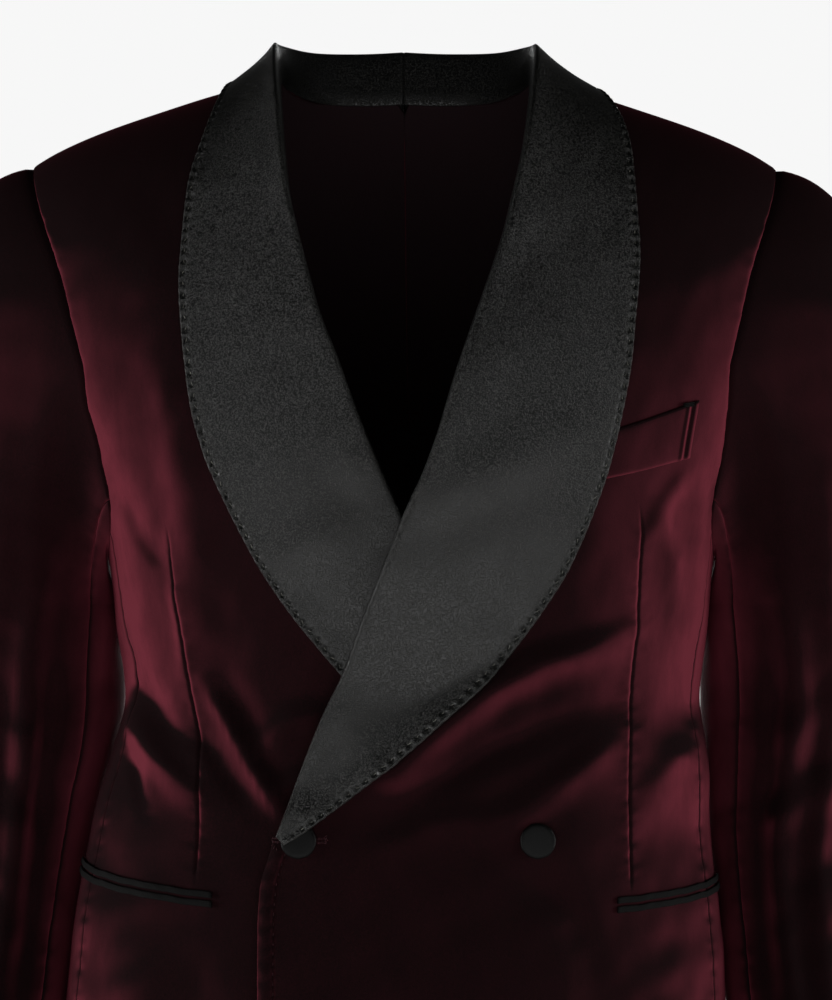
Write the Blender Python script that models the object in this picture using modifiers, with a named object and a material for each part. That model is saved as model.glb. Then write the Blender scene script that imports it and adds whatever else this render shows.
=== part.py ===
"""A double-breasted velvet dinner jacket with a satin shawl collar, hollow, as it is worn.

Metres, +Z up, the front faces -Y. The origin lies between the shoulders, where the wearer holds it.
Each cloth piece is an open face laid on one worn body form and thickened inward.
"""

import math
from collections import namedtuple

import bpy
from mathutils import Vector

# Cloth and seams
VELVET = 0.002
SATIN = 0.002
SEAM = 0.0003
JET = 0.0012
WELT = 0.0012
LAID = 0.0006
SHOULDER_ROOM = 0.0020
ROLL_ROOM = 0.0007
NECK_ROOM = 0.0038
VELVET_COLOUR = (0.10, 0.018, 0.03)

# Heights of the garment
HEM_Z = -0.740
UNDERARM_Z = -0.285
BREAK_Z = -0.4597
ARMHOLE_MID_Z = -0.168
ARMHOLE_HALF = 0.1225
SLEEVE_TOP_Z = -0.320
RIDGE_STEP = 0.00015
CUFF_Z = -0.675

# Rows of the panels between the hem and the armhole, as shares of that height
LEVELS = [0.0, 0.075, 0.160, 0.245, 0.330, 0.412, 0.490, 0.545, 0.577, 0.6012]
LEVELS += [0.6012 + 0.3988 * step / 8 for step in range(1, 8)]

# The fronts lie over each other as far as these places
OVERLAP_LIFT = 0.0075
OVERLAP_FULL_X = 0.095
OVERLAP_END_X = 0.180
OVERLAP_TOP_Z = -0.080
OVERLAP_FULL_Z = -0.240

# Armhole stations, counted from the underarm forward over the shoulder
STATIONS = 24
FRONT_SEAM_STATION = 2
SLEEVE_FRONT_STATION = 3
SHOULDER_STATION = 12
SLEEVE_BACK_STATION = 18
BACK_SEAM_STATION = 19

# Buttons
BUTTON_RADIUS = 0.0108
BUTTON_THICK = 0.0034
BUTTON_Z = -0.4602
FASTENED_X = -0.0618
SHOW_X = 0.080
BUTTON_STEPS = 28

LEFT = 1
RIGHT = -1
FRONT = -1
BACK = 1

# The worn body form: centre, half width, depth to the front and back, squareness of the section
BodyRow = namedtuple("BodyRow", "z centre half front back square")
BODY = [
    BodyRow(-0.740, -0.006, 0.214, 0.128, 0.132, 2.50),
    BodyRow(-0.660, -0.005, 0.212, 0.127, 0.132, 2.50),
    BodyRow(-0.580, -0.0045, 0.2085, 0.124, 0.128, 2.50),
    BodyRow(-0.510, -0.0035, 0.2025, 0.119, 0.115, 2.45),
    BodyRow(-0.468, -0.002, 0.196, 0.116, 0.104, 2.40),
    BodyRow(-0.440, 0.0005, 0.1925, 0.114, 0.097, 2.40),
    BodyRow(-0.411, 0.004, 0.187, 0.113, 0.091, 2.40),
    BodyRow(-0.378, 0.006, 0.181, 0.112, 0.088, 2.40),
    BodyRow(-0.333, 0.0055, 0.186, 0.116, 0.093, 2.45),
    BodyRow(-0.285, 0.005, 0.191, 0.121, 0.104, 2.50),
    BodyRow(-0.225, 0.005, 0.207, 0.125, 0.116, 2.50),
    BodyRow(-0.182, 0.0025, 0.2257, 0.126, 0.121, 2.50),
    BodyRow(-0.115, 0.0015, 0.242, 0.127, 0.122, 2.50),
    BodyRow(-0.060, 0.001, 0.252, 0.127, 0.120, 2.50),
    BodyRow(0.030, 0.000, 0.256, 0.127, 0.120, 2.50),
]

# The shoulder line from the middle of the neck out to the sleeve
RidgeRow = namedtuple("RidgeRow", "x z")
RIDGE = [
    RidgeRow(0.000, 0.028),
    RidgeRow(0.040, 0.0235),
    RidgeRow(0.078, 0.012),
    RidgeRow(0.117, 0.002),
    RidgeRow(0.150, -0.0085),
    RidgeRow(0.190, -0.0225),
    RidgeRow(0.218, -0.035),
    RidgeRow(0.235, -0.0455),
    RidgeRow(0.260, -0.065),
]

# How far out the armhole cuts the form, as a share of its half width
ArmholeRow = namedtuple("ArmholeRow", "z reach")
ARMHOLE = [
    ArmholeRow(-0.2905, 1.000),
    ArmholeRow(-0.2737, 0.968),
    ArmholeRow(-0.2543, 0.945),
    ArmholeRow(-0.2300, 0.933),
    ArmholeRow(-0.1996, 0.902),
    ArmholeRow(-0.1680, 0.870),
    ArmholeRow(-0.1360, 0.8755),
    ArmholeRow(-0.1060, 0.886),
    ArmholeRow(-0.0817, 0.903),
    ArmholeRow(-0.0623, 0.917),
    ArmholeRow(-0.0455, 0.927),
]

# Where the panels are joined at the sides, as a share of the half width
SideSeamRow = namedtuple("SideSeamRow", "z front back")
SIDE_SEAMS = [
    SideSeamRow(-0.740, 0.950, 0.880),
    SideSeamRow(-0.500, 0.955, 0.890),
    SideSeamRow(-0.380, 0.955, 0.910),
    SideSeamRow(-0.2737, 0.968, 0.915),
    SideSeamRow(-0.1996, 0.968, 0.902),
]

# The front edge below the lapel, for the front on top; the one under it mirrors this
EdgeRow = namedtuple("EdgeRow", "z x")
FRONT_EDGE = [
    EdgeRow(-0.740, -0.0870),
    EdgeRow(-0.512, -0.0865),
    EdgeRow(-0.487, -0.0848),
    EdgeRow(-0.474, -0.0812),
    EdgeRow(-0.4597, -0.0765),
]

# The shawl from its tip over the shoulder to the centre back: where it rolls and where its edge
# lies, as x and the drop below the shoulder line (negative at the back), and its standing height
ShawlRow = namedtuple("ShawlRow", "roll_x roll_drop edge_x edge_drop stand")
SHAWL_LEFT = [
    ShawlRow(-0.0765, 0.4715, -0.0745, 0.4715, 0.0040),
    ShawlRow(-0.0665, 0.4470, -0.0553, 0.4630, 0.0042),
    ShawlRow(-0.0580, 0.4270, -0.0342, 0.4510, 0.0045),
    ShawlRow(-0.0485, 0.4055, -0.0016, 0.4300, 0.0045),
    ShawlRow(-0.0375, 0.3790, 0.0255, 0.4060, 0.0045),
    ShawlRow(-0.0260, 0.3490, 0.0500, 0.3780, 0.0045),
    ShawlRow(-0.0130, 0.3155, 0.0725, 0.3480, 0.0045),
    ShawlRow(0.0000, 0.2839, 0.0930, 0.3120, 0.0045),
    ShawlRow(0.0100, 0.2630, 0.1062, 0.2862, 0.0045),
    ShawlRow(0.0190, 0.2385, 0.1159, 0.2565, 0.0045),
    ShawlRow(0.0300, 0.2050, 0.1250, 0.2300, 0.0048),
    ShawlRow(0.0420, 0.1640, 0.1340, 0.1830, 0.0052),
    ShawlRow(0.0530, 0.1325, 0.1395, 0.1390, 0.0060),
    ShawlRow(0.0610, 0.1090, 0.1427, 0.1015, 0.0080),
    ShawlRow(0.0680, 0.0833, 0.1428, 0.0740, 0.0110),
    ShawlRow(0.0738, 0.0570, 0.1414, 0.0510, 0.0150),
    ShawlRow(0.0775, 0.0321, 0.1396, 0.0310, 0.0195),
    ShawlRow(0.0797, 0.0146, 0.1335, 0.0130, 0.0225),
    ShawlRow(0.0800, 0.0000, 0.1240, 0.0000, 0.0250),
    ShawlRow(0.0730, -0.0070, 0.1060, -0.0110, 0.0310),
    ShawlRow(0.0550, -0.0180, 0.0800, -0.0260, 0.0345),
    ShawlRow(0.0300, -0.0240, 0.0450, -0.0380, 0.0360),
    ShawlRow(0.0000, -0.0260, 0.0000, -0.0430, 0.0365),
]
SHAWL_RIGHT = [
    ShawlRow(0.0765, 0.4715, 0.0745, 0.4715, 0.0035),
    ShawlRow(0.0675, 0.4500, 0.0587, 0.4615, 0.0035),
    ShawlRow(0.0587, 0.4280, 0.0376, 0.4472, 0.0035),
    ShawlRow(0.0480, 0.4030, 0.0104, 0.4260, 0.0035),
    ShawlRow(0.0376, 0.3780, -0.0168, 0.4015, 0.0035),
    ShawlRow(0.0270, 0.3520, -0.0371, 0.3785, 0.0035),
    ShawlRow(0.0150, 0.3225, -0.0600, 0.3465, 0.0035),
    ShawlRow(0.0060, 0.2990, -0.0801, 0.3157, 0.0038),
    ShawlRow(-0.0064, 0.2708, -0.0958, 0.2855, 0.0045),
    ShawlRow(-0.0175, 0.2415, -0.1092, 0.2548, 0.0045),
    ShawlRow(-0.0256, 0.2220, -0.1201, 0.2254, 0.0045),
    ShawlRow(-0.0365, 0.1930, -0.1271, 0.1965, 0.0048),
    ShawlRow(-0.0471, 0.1625, -0.1324, 0.1590, 0.0052),
    ShawlRow(-0.0560, 0.1320, -0.1353, 0.1220, 0.0060),
    ShawlRow(-0.0630, 0.1070, -0.1350, 0.0960, 0.0080),
    ShawlRow(-0.0690, 0.0840, -0.1335, 0.0720, 0.0110),
    ShawlRow(-0.0725, 0.0580, -0.1305, 0.0515, 0.0150),
    ShawlRow(-0.0752, 0.0320, -0.1262, 0.0365, 0.0195),
    ShawlRow(-0.0770, 0.0150, -0.1190, 0.0155, 0.0225),
    ShawlRow(-0.0775, 0.0000, -0.1110, 0.0000, 0.0250),
    ShawlRow(-0.0715, -0.0070, -0.1000, -0.0110, 0.0310),
    ShawlRow(-0.0550, -0.0180, -0.0800, -0.0260, 0.0345),
    ShawlRow(-0.0300, -0.0240, -0.0450, -0.0380, 0.0360),
    ShawlRow(0.0000, -0.0260, 0.0000, -0.0430, 0.0365),
]

# Sleeve sections: inner and outer reach, half depth, how far behind the body's middle, and how far
# in degrees the front seam is turned forward
SleeveRow = namedtuple("SleeveRow", "z inner outer deep back twist")
SLEEVE = [
    SleeveRow(-0.675, 0.2190, 0.3080, 0.0480, -0.016, -2.0),
    SleeveRow(-0.600, 0.2120, 0.3060, 0.0500, 0.004, -2.0),
    SleeveRow(-0.500, 0.2005, 0.3010, 0.0530, 0.026, -1.0),
    SleeveRow(-0.440, 0.1910, 0.2980, 0.0550, 0.033, 3.0),
    SleeveRow(-0.380, 0.1835, 0.2980, 0.0580, 0.033, 6.0),
    SleeveRow(-0.320, 0.1880, 0.3020, 0.0620, 0.022, -3.0),
]

# The largest folds of each front, from one end to the other; a height below zero is a trough
FoldRow = namedtuple("FoldRow", "side x0 z0 x1 z1 width height")
FOLDS = [
    FoldRow(RIGHT, -0.168, -0.380, -0.120, -0.436, 0.0090, 0.0028),
    FoldRow(RIGHT, -0.120, -0.366, -0.074, -0.446, 0.0070, 0.0024),
    FoldRow(RIGHT, -0.150, -0.292, -0.112, -0.380, 0.0130, 0.0020),
    FoldRow(RIGHT, -0.150, -0.545, -0.140, -0.720, 0.0200, 0.0030),
    FoldRow(LEFT, -0.030, -0.436, 0.060, -0.378, 0.0160, 0.0034),
    FoldRow(LEFT, 0.060, -0.378, 0.135, -0.338, 0.0160, 0.0030),
    FoldRow(LEFT, 0.085, -0.440, 0.140, -0.405, 0.0120, 0.0026),
    FoldRow(LEFT, 0.150, -0.250, 0.153, -0.330, 0.0100, 0.0020),
    FoldRow(LEFT, 0.150, -0.550, 0.140, -0.725, 0.0200, 0.0030),
]


def clamp(value, low=0.0, high=1.0):
    """Value held between two limits."""
    return max(low, min(high, value))


def smooth(value):
    """An eased step from nought to one."""
    value = clamp(value)
    return value * value * (3.0 - 2.0 * value)


def blend(start, end, share):
    """Value or point part of the way from start to end."""
    return start + (end - start) * share


def read(rows, key, column, at):
    """One column of a table at a key value, on a curve that never overshoots its rows."""
    keys = [getattr(row, key) for row in rows]
    values = [getattr(row, column) for row in rows]
    if at <= keys[0]:
        return values[0]
    if at >= keys[-1]:
        return values[-1]
    rises = []
    for index in range(len(keys) - 1):
        rises.append((values[index + 1] - values[index]) / (keys[index + 1] - keys[index]))
    slopes = [rises[0]]
    for before, after in zip(rises, rises[1:]):
        same_way = before * after > 0.0
        slopes.append(2.0 * before * after / (before + after) if same_way else 0.0)
    slopes.append(rises[-1])
    index = max(place for place in range(len(keys) - 1) if keys[place] <= at)
    step = keys[index + 1] - keys[index]
    share = (at - keys[index]) / step
    rest = 1.0 - share
    value = values[index] * (1.0 + 2.0 * share) * rest * rest
    value += slopes[index] * step * share * rest * rest
    value += values[index + 1] * share * share * (3.0 - 2.0 * share)
    value -= slopes[index + 1] * step * share * share * rest
    return value


def read_row(rows, column, place):
    """One column of a table at a place counted in rows, on a smooth curve through them."""
    index = int(clamp(math.floor(place), 0, len(rows) - 2))
    share = place - index
    values = [getattr(row, column) for row in rows]
    before = values[max(index - 1, 0)]
    start = values[index]
    end = values[index + 1]
    after = values[min(index + 2, len(rows) - 1)]
    bend = 2.0 * before - 5.0 * start + 4.0 * end - after
    twist = 3.0 * start - 3.0 * end + after - before
    return start + 0.5 * share * (end - before + share * (bend + share * twist))


def ridge_z(x):
    """Height of the shoulder line."""
    return read(RIDGE, "x", "z", abs(x))


def body_point(turn, z):
    """A point of the body form; turn is 0 at the front, a quarter circle at the wearer's left."""
    centre = read(BODY, "z", "centre", z)
    half = read(BODY, "z", "half", z)
    power = 2.0 / read(BODY, "z", "square", z)
    across = math.sin(turn)
    along = math.cos(turn)
    x = centre + half * math.copysign(abs(across) ** power, across)
    rise = clamp((z - UNDERARM_Z) / (ridge_z(x) - UNDERARM_Z))
    if along >= 0.0:
        depth = read(BODY, "z", "front", z) * (1.0 - rise ** 3) ** 0.55
    else:
        depth = read(BODY, "z", "back", z) * (1.0 - rise ** 4) ** 0.55
    y = -math.copysign(depth * abs(along) ** power + 0.5 * SEAM * rise, along)
    return Vector((x, y, z))


def body_normal(turn, z):
    """The direction that the body form faces there."""
    step = 0.004
    x = body_point(turn, z).x
    if z > ridge_z(x) - 2.0 * RIDGE_STEP:
        slope = (ridge_z(x + step) - ridge_z(x - step)) / (2.0 * step)
        return Vector((-slope, 0.0, 1.0)).normalized()
    reach = min(step, 0.5 * (ridge_z(x) - z))
    across = body_point(turn + step, z) - body_point(turn - step, z)
    upward = body_point(turn, z + reach) - body_point(turn, z - reach)
    return across.cross(upward).normalized()


def turn_at(x, z, face):
    """The turn of the form's front or back point at x."""
    offset = x - read(BODY, "z", "centre", z)
    share = clamp(abs(offset) / read(BODY, "z", "half", z))
    turn = math.asin(share ** (read(BODY, "z", "square", z) / 2.0))
    if face == BACK:
        turn = math.pi - turn
    return math.copysign(turn, offset)


def fold_height(side, x, z):
    """How far the folds of one front stand out at a place."""
    height = 0.0
    for fold in FOLDS:
        if fold.side != side:
            continue
        run_x = fold.x1 - fold.x0
        run_z = fold.z1 - fold.z0
        length = math.hypot(run_x, run_z)
        along = ((x - fold.x0) * run_x + (z - fold.z0) * run_z) / length
        beside = ((x - fold.x0) * run_z - (z - fold.z0) * run_x) / length
        beyond = max(-along, along - length, 0.0)
        reach = (beside / fold.width) ** 2 + (beyond / (2.0 * fold.width)) ** 2
        height += fold.height * math.exp(-reach)
    return height


def overlap_lift(x, z):
    """How far the front on top lies out over the one under it."""
    across = smooth((OVERLAP_END_X - x) / (OVERLAP_END_X - OVERLAP_FULL_X))
    down = smooth((OVERLAP_TOP_Z - z) / (OVERLAP_TOP_Z - OVERLAP_FULL_Z))
    return OVERLAP_LIFT * across * down


def cloth_point(side, turn, z, out=0.0):
    """A point of the outer face of the cloth on one side, moved out by a distance."""
    point = body_point(turn, z)
    height = out
    if math.cos(turn) > 0.0:
        fade = smooth((1.45 - abs(turn)) / 0.25)
        height += fade * fold_height(side, point.x, z)
        if side == LEFT:
            height += overlap_lift(point.x, z)
    if height == 0.0:
        return point
    return point + body_normal(turn, z) * height


def cloth_normal(side, turn, z):
    """The direction that the cloth faces there, folds and overlap included."""
    step = 0.02
    across = cloth_point(side, turn + step, z) - cloth_point(side, turn - step, z)
    upward = cloth_point(side, turn, z + 0.004) - cloth_point(side, turn, z - 0.004)
    return across.cross(upward).normalized()


def dropped_point(side, x, drop, out=0.0):
    """A point below the shoulder line by a drop, on the back where the drop is negative."""
    z = ridge_z(x) - abs(drop)
    face = BACK if drop < 0.0 else FRONT
    return cloth_point(side, turn_at(x, z, face), z, out)


def armhole_place(station):
    """The turn and height of an armhole station on the wearer's left."""
    angle = 2.0 * math.pi * station / STATIONS
    z = ARMHOLE_MID_Z - ARMHOLE_HALF * math.cos(angle)
    share = clamp(read(ARMHOLE, "z", "reach", z))
    turn = math.asin(share ** (read(BODY, "z", "square", z) / 2.0))
    if math.sin(angle) < -1e-9:
        turn = math.pi - turn
    return turn, z


def armhole_point(side, station):
    """A point of the armhole; its crown lies on the shoulder line."""
    turn, z = armhole_place(station)
    point = cloth_point(side, side * turn, z)
    if station == SHOULDER_STATION:
        point.z = ridge_z(point.x)
        point.y = 0.0
    return point


def side_seam_turn(side, z, face):
    """The turn of a side seam at a height."""
    column = "front" if face == FRONT else "back"
    share = read(SIDE_SEAMS, "z", column, z)
    turn = math.asin(share ** (read(BODY, "z", "square", z) / 2.0))
    if face == BACK:
        turn = math.pi - turn
    return side * turn


def trim(grid, first=0.0, last=0.0, top=0.0):
    """Draw the edges of a grid of points back by the given distances; first may be one a row."""
    for place, row in enumerate(grid):
        room = first[place] if isinstance(first, list) else first
        row[0] = row[0] + (row[1] - row[0]).normalized() * room
        row[-1] = row[-1] + (row[-2] - row[-1]).normalized() * last
    for column, end in enumerate(grid[-1]):
        grid[-1][column] = end + (grid[-2][column] - end).normalized() * top
    return grid


def trimmed_wall(outer, inner, first=0.0, last=0.0, top=0.0):
    """Draw both faces of a wall back at their edges, alike."""
    depths = []
    for row, inside in zip(outer, inner):
        depths.append([point - below for point, below in zip(row, inside)])
    trim(outer, first, last, top)
    for row, inside, depth in zip(outer, inner, depths):
        inside[:] = [point - across for point, across in zip(row, depth)]
    return outer, inner


def paint(name, colour, roughness, metallic=0.0):
    """A plain material."""
    material = bpy.data.materials.new(name)
    material.use_nodes = True
    shader = material.node_tree.nodes["Principled BSDF"]
    shader.inputs["Base Color"].default_value = (*colour, 1.0)
    shader.inputs["Roughness"].default_value = roughness
    shader.inputs["Metallic"].default_value = metallic
    material.diffuse_color = (*colour, 1.0)
    return material


def add_wall(name, outer, inner, colour, roughness):
    """One cloth wall lofted by hand: its outer and inner faces, and the rim between them.

    The inner face follows the form's own direction, so neighbouring walls meet level at a seam.
    """
    rows = len(outer)
    width = len(outer[0])
    count = rows * width
    points = [point for row in outer for point in row] + [point for row in inner for point in row]
    faces = []
    for row in range(rows - 1):
        for column in range(width - 1):
            corner = row * width + column
            faces.append((corner, corner + 1, corner + width + 1, corner + width))
            faces.append(tuple(count + index for index in reversed(faces[-1])))
    rim = list(range(width))
    rim += [row * width + width - 1 for row in range(1, rows)]
    rim += [(rows - 1) * width + column for column in range(width - 2, -1, -1)]
    rim += [row * width for row in range(rows - 2, 0, -1)]
    for here, after in zip(rim, rim[1:] + rim[:1]):
        faces.append((after, here, here + count, after + count))
    mesh = bpy.data.meshes.new(name)
    mesh.from_pydata(points, [], faces)
    piece = bpy.data.objects.new(name, mesh)
    jacket.objects.link(piece)
    facing = (outer[1][1] - outer[0][0]).cross(outer[1][0] - outer[0][1])
    if facing.dot(outer[0][0] - inner[0][0]) < 0.0:
        mesh.flip_normals()
    mesh.materials.append(paint(name + "_velvet", colour, roughness))
    mesh.shade_smooth()
    mesh.set_sharp_from_angle(angle=math.radians(40.0))
    return piece


def add_cloth(name, grid, thickness, colour, roughness, outward):
    """One cloth wall: a grid of points as an open face, thickened to its inner side."""
    width = len(grid[0])
    points = [point for row in grid for point in row]
    faces = []
    for row in range(len(grid) - 1):
        for column in range(width - 1):
            corner = row * width + column
            faces.append((corner, corner + 1, corner + width + 1, corner + width))
    mesh = bpy.data.meshes.new(name)
    mesh.from_pydata(points, [], faces)
    middle = mesh.polygons[len(faces) // 2]
    if middle.normal.dot(outward) < 0.0:
        mesh.flip_normals()
    piece = bpy.data.objects.new(name, mesh)
    jacket.objects.link(piece)
    mesh.materials.append(paint(name + "_cloth", colour, roughness))
    wall = piece.modifiers.new("Wall", "SOLIDIFY")
    wall.thickness = thickness
    wall.offset = -1.0
    mesh.shade_smooth()
    mesh.set_sharp_from_angle(angle=math.radians(40.0))
    return piece


def front_edge_x(side, z):
    """The free edge of a front below its lapel."""
    return -side * abs(read(FRONT_EDGE, "z", "x", z))


def shawl_rows(side):
    """The table of one side's shawl."""
    return SHAWL_LEFT if side == LEFT else SHAWL_RIGHT


def shoulder_row(side):
    """The row of the shawl table that lies on the shoulder line."""
    rows = shawl_rows(side)
    return next(place for place, row in enumerate(rows) if row.roll_drop == 0.0)


def roll_place_at(side, z):
    """Where in the shawl table the roll line passes a height on the front."""
    rows = shawl_rows(side)
    low = 0.0
    high = float(shoulder_row(side))
    for _ in range(30):
        middle = 0.5 * (low + high)
        x = read_row(rows, "roll_x", middle)
        height = ridge_z(x) - read_row(rows, "roll_drop", middle)
        if height < z:
            low = middle
        else:
            high = middle
    return 0.5 * (low + high)


def front_rows(side):
    """The rows of a front, from the hem up: (x, z) at its inner and outer end, and room inside."""
    rows = []
    seam_z = armhole_place(FRONT_SEAM_STATION)[1]
    for level in LEVELS:
        z = blend(HEM_Z, seam_z, level)
        outer = body_point(side_seam_turn(side, z, FRONT), z).x
        if z < BREAK_Z - SEAM:
            rows.append((front_edge_x(side, z), z, outer, z, 0.0))
            continue
        place = roll_place_at(side, z)
        rows.append((read_row(shawl_rows(side), "roll_x", place), z, outer, z, ROLL_ROOM))
    start = roll_place_at(side, seam_z)
    above = SHOULDER_STATION - FRONT_SEAM_STATION
    for step in list(range(above)) + [above - 0.5, above]:
        place = blend(start, shoulder_row(side), step / above)
        x = read_row(shawl_rows(side), "roll_x", place)
        z = ridge_z(x) - read_row(shawl_rows(side), "roll_drop", place)
        edge = armhole_point(side, FRONT_SEAM_STATION + step)
        rows.append((x, z, edge.x, edge.z, blend(ROLL_ROOM, NECK_ROOM, step / above)))
    return round_to_ridge(rows)


def round_to_ridge(rows):
    """Add a row just below the last one, so that the cloth meets the shoulder seam level."""
    x, z, edge_x, edge_z, room = rows[-1]
    rows.insert(-1, (x, z - RIDGE_STEP, edge_x, edge_z - RIDGE_STEP, room))
    return rows


def panel_place(face, across, inner, outer):
    """The turn and height of a point of a panel row, which runs from an inner to an outer (x, z)."""
    shares = []
    for x, z in (inner, outer):
        share = (x - read(BODY, "z", "centre", z)) / read(BODY, "z", "half", z)
        shares.append(math.asin(clamp(share, -1.0, 1.0)))
    rises = [(z - UNDERARM_Z) / (ridge_z(x) - UNDERARM_Z) for x, z in (inner, outer)]
    z = blend(inner[1], outer[1], across)
    bearing = math.sin(blend(shares[0], shares[1], across))
    x = read(BODY, "z", "centre", z) + read(BODY, "z", "half", z) * bearing
    on_ridge = clamp(0.5 * (rises[0] + rises[1])) ** 4
    sag = ridge_z(x) - blend(ridge_z(inner[0]), ridge_z(outer[0]), across)
    z += sag * on_ridge
    z = min(z, ridge_z(x))
    return turn_at(x, z, face), z


def add_panel(side, name, face, rows, columns):
    """A panel between the inner and outer ends of its rows, as a wall on the worn form."""
    outer = []
    inner = []
    for inner_x, inner_z, outer_x, outer_z, _ in rows:
        outside = []
        inside = []
        for column in range(columns):
            across = column / (columns - 1)
            turn, z = panel_place(face, across, (inner_x, inner_z), (outer_x, outer_z))
            point = cloth_point(side, turn, z)
            outside.append(point)
            inside.append(point - body_normal(turn, z) * VELVET)
        outer.append(outside)
        inner.append(inside)
    trimmed_wall(outer, inner, first=[row[-1] for row in rows], last=0.5 * SEAM)
    return add_wall(name, outer, inner, VELVET_COLOUR, 0.8)


def add_front(side, name):
    """One front, from its free edge and roll line to the side seam, armhole and shoulder."""
    return add_panel(side, name, FRONT, front_rows(side), 15)


def add_back(side, name):
    """One half of the back, from the centre seam and neck to the side seam, armhole and shoulder."""
    rows = []
    seam_z = armhole_place(BACK_SEAM_STATION)[1]
    centre_neck = shawl_rows(side)[-1]
    neck_z = ridge_z(0.0) + centre_neck.roll_drop - NECK_ROOM
    for level in LEVELS:
        z = blend(HEM_Z, seam_z, level)
        outer = body_point(side_seam_turn(side, z, BACK), z).x
        rows.append((read(BODY, "z", "centre", z), z, outer, z, 0.5 * SEAM))
    above = BACK_SEAM_STATION - SHOULDER_STATION
    up_seam = above - 4
    last = len(shawl_rows(side)) - 1
    for step in list(range(above)) + [above - 0.5, above]:
        room = NECK_ROOM if step > up_seam else 0.5 * SEAM
        edge = armhole_point(side, BACK_SEAM_STATION - step)
        if step <= up_seam:
            z = blend(seam_z, neck_z, step / up_seam)
            x = read(BODY, "z", "centre", z)
        else:
            share = (step - up_seam) / (above - up_seam)
            place = blend(last, shoulder_row(side), share)
            x = read_row(shawl_rows(side), "roll_x", place)
            z = ridge_z(x) + read_row(shawl_rows(side), "roll_drop", place)
        rows.append((x, z, edge.x, edge.z, room))
    round_to_ridge(rows)
    return add_panel(side, name, BACK, rows, 10)


def add_side(side, name):
    """The panel under the arm, between the front and back seams."""
    columns = STATIONS - BACK_SEAM_STATION + FRONT_SEAM_STATION
    levels = LEVELS + [1.0]
    rows = len(LEVELS)
    outer = [[] for _ in range(rows + 1)]
    inner = [[] for _ in range(rows + 1)]
    for column in range(columns + 1):
        across = column / columns
        top_turn, top_z = armhole_place(FRONT_SEAM_STATION - column)
        for row, up in enumerate(levels):
            z = blend(HEM_Z, top_z, up)
            front = side_seam_turn(side, z, FRONT)
            back = side_seam_turn(side, z, BACK)
            turn = blend(front, back, across)
            turn = blend(turn, side * top_turn, up ** 6)
            if column in (0, columns):
                turn = front if column == 0 else back
            if row == rows:
                turn = side * top_turn
            point = cloth_point(side, turn, z)
            outer[row].append(point)
            inner[row].append(point - body_normal(turn, z) * VELVET)
    trimmed_wall(outer, inner, first=0.5 * SEAM, last=0.5 * SEAM, top=0.5 * SEAM)
    return add_wall(name, outer, inner, VELVET_COLOUR, 0.8)


def sleeve_ring_point(side, station, z):
    """A point of the sleeve's tube; station 0 faces the body, then forward, out and back."""
    near = read(SLEEVE, "z", "inner", z)
    far = read(SLEEVE, "z", "outer", z)
    wide = 0.5 * (far - near)
    angle = 2.0 * math.pi * station / STATIONS + math.radians(read(SLEEVE, "z", "twist", z))
    x = read(BODY, "z", "centre", z) + side * (near + wide * (1.0 - math.cos(angle)))
    y = read(SLEEVE, "z", "back", z) - read(SLEEVE, "z", "deep", z) * math.sin(angle)
    return Vector((x, y, z))


def sleeve_way(side, station):
    """The direction in which a sleeve leaves the armhole."""
    angle = 2.0 * math.pi * station / STATIONS
    return Vector((side, 0.24 * math.sin(angle), -0.12)).normalized()


def sleeve_point(side, station, up):
    """A point of a sleeve: up runs from the cuff (0) by the top of its tube (1) to the armhole (2)."""
    if up <= 1.0:
        return sleeve_ring_point(side, station, blend(CUFF_Z, SLEEVE_TOP_Z, up))
    share = 2.0 - up
    way = sleeve_way(side, station)
    start = armhole_point(side, station) + way * 0.5 * SEAM
    end = sleeve_ring_point(side, station, SLEEVE_TOP_Z)
    below = sleeve_ring_point(side, station, SLEEVE_TOP_Z - 0.02)
    down = (below - end).normalized()
    under = ((1.0 + math.cos(2.0 * math.pi * station / STATIONS)) / 2.0) ** 2
    pull = (end - start).length * blend(0.95, 0.55, under)
    rest = 1.0 - share
    point = start * (1.0 + 2.0 * share) * rest * rest
    point += way * pull * share * rest * rest
    point += end * share * share * (3.0 - 2.0 * share)
    point -= down * pull * share * share * rest
    return point


def sleeve_normal(side, station, up):
    """The direction that the sleeve faces there."""
    low = max(up - 0.03, 0.0)
    high = min(up + 0.03, 2.0)
    upward = sleeve_point(side, station, high) - sleeve_point(side, station, low)
    around = sleeve_point(side, station + 0.2, up) - sleeve_point(side, station - 0.2, up)
    return around.cross(upward).normalized() * side


def add_sleeve(side, name, first, last):
    """One cut of a sleeve, between two armhole stations, from the cuff up to the armhole."""
    tube_rows = 9
    cap_rows = 8
    ups = [row / tube_rows for row in range(tube_rows)]
    ups += [1.0 + row / cap_rows for row in range(cap_rows + 1)]
    outer = []
    inner = []
    for up in ups:
        outside = [sleeve_point(side, station, up) for station in range(first, last + 1)]
        inside = []
        for point, station in zip(outside, range(first, last + 1)):
            inside.append(point - sleeve_normal(side, station, up) * VELVET)
        outer.append(outside)
        inner.append(inside)
    trimmed_wall(outer, inner, first=SEAM, last=SEAM)
    return add_wall(name, outer, inner, VELVET_COLOUR, 0.8)


def lapel_ease(side, x, z):
    """Room under the lapel on top, for the breast welt and the fastened button."""
    if side == RIGHT:
        return 0.0
    over_welt = smooth((z + 0.330) / 0.060) * smooth((-0.110 - z) / 0.060)
    away = math.hypot(x - FASTENED_X, z - BUTTON_Z)
    over_button = smooth((0.034 - away) / 0.021)
    return (WELT + SEAM) * over_welt + (BUTTON_THICK + LAID) * over_button


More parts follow.
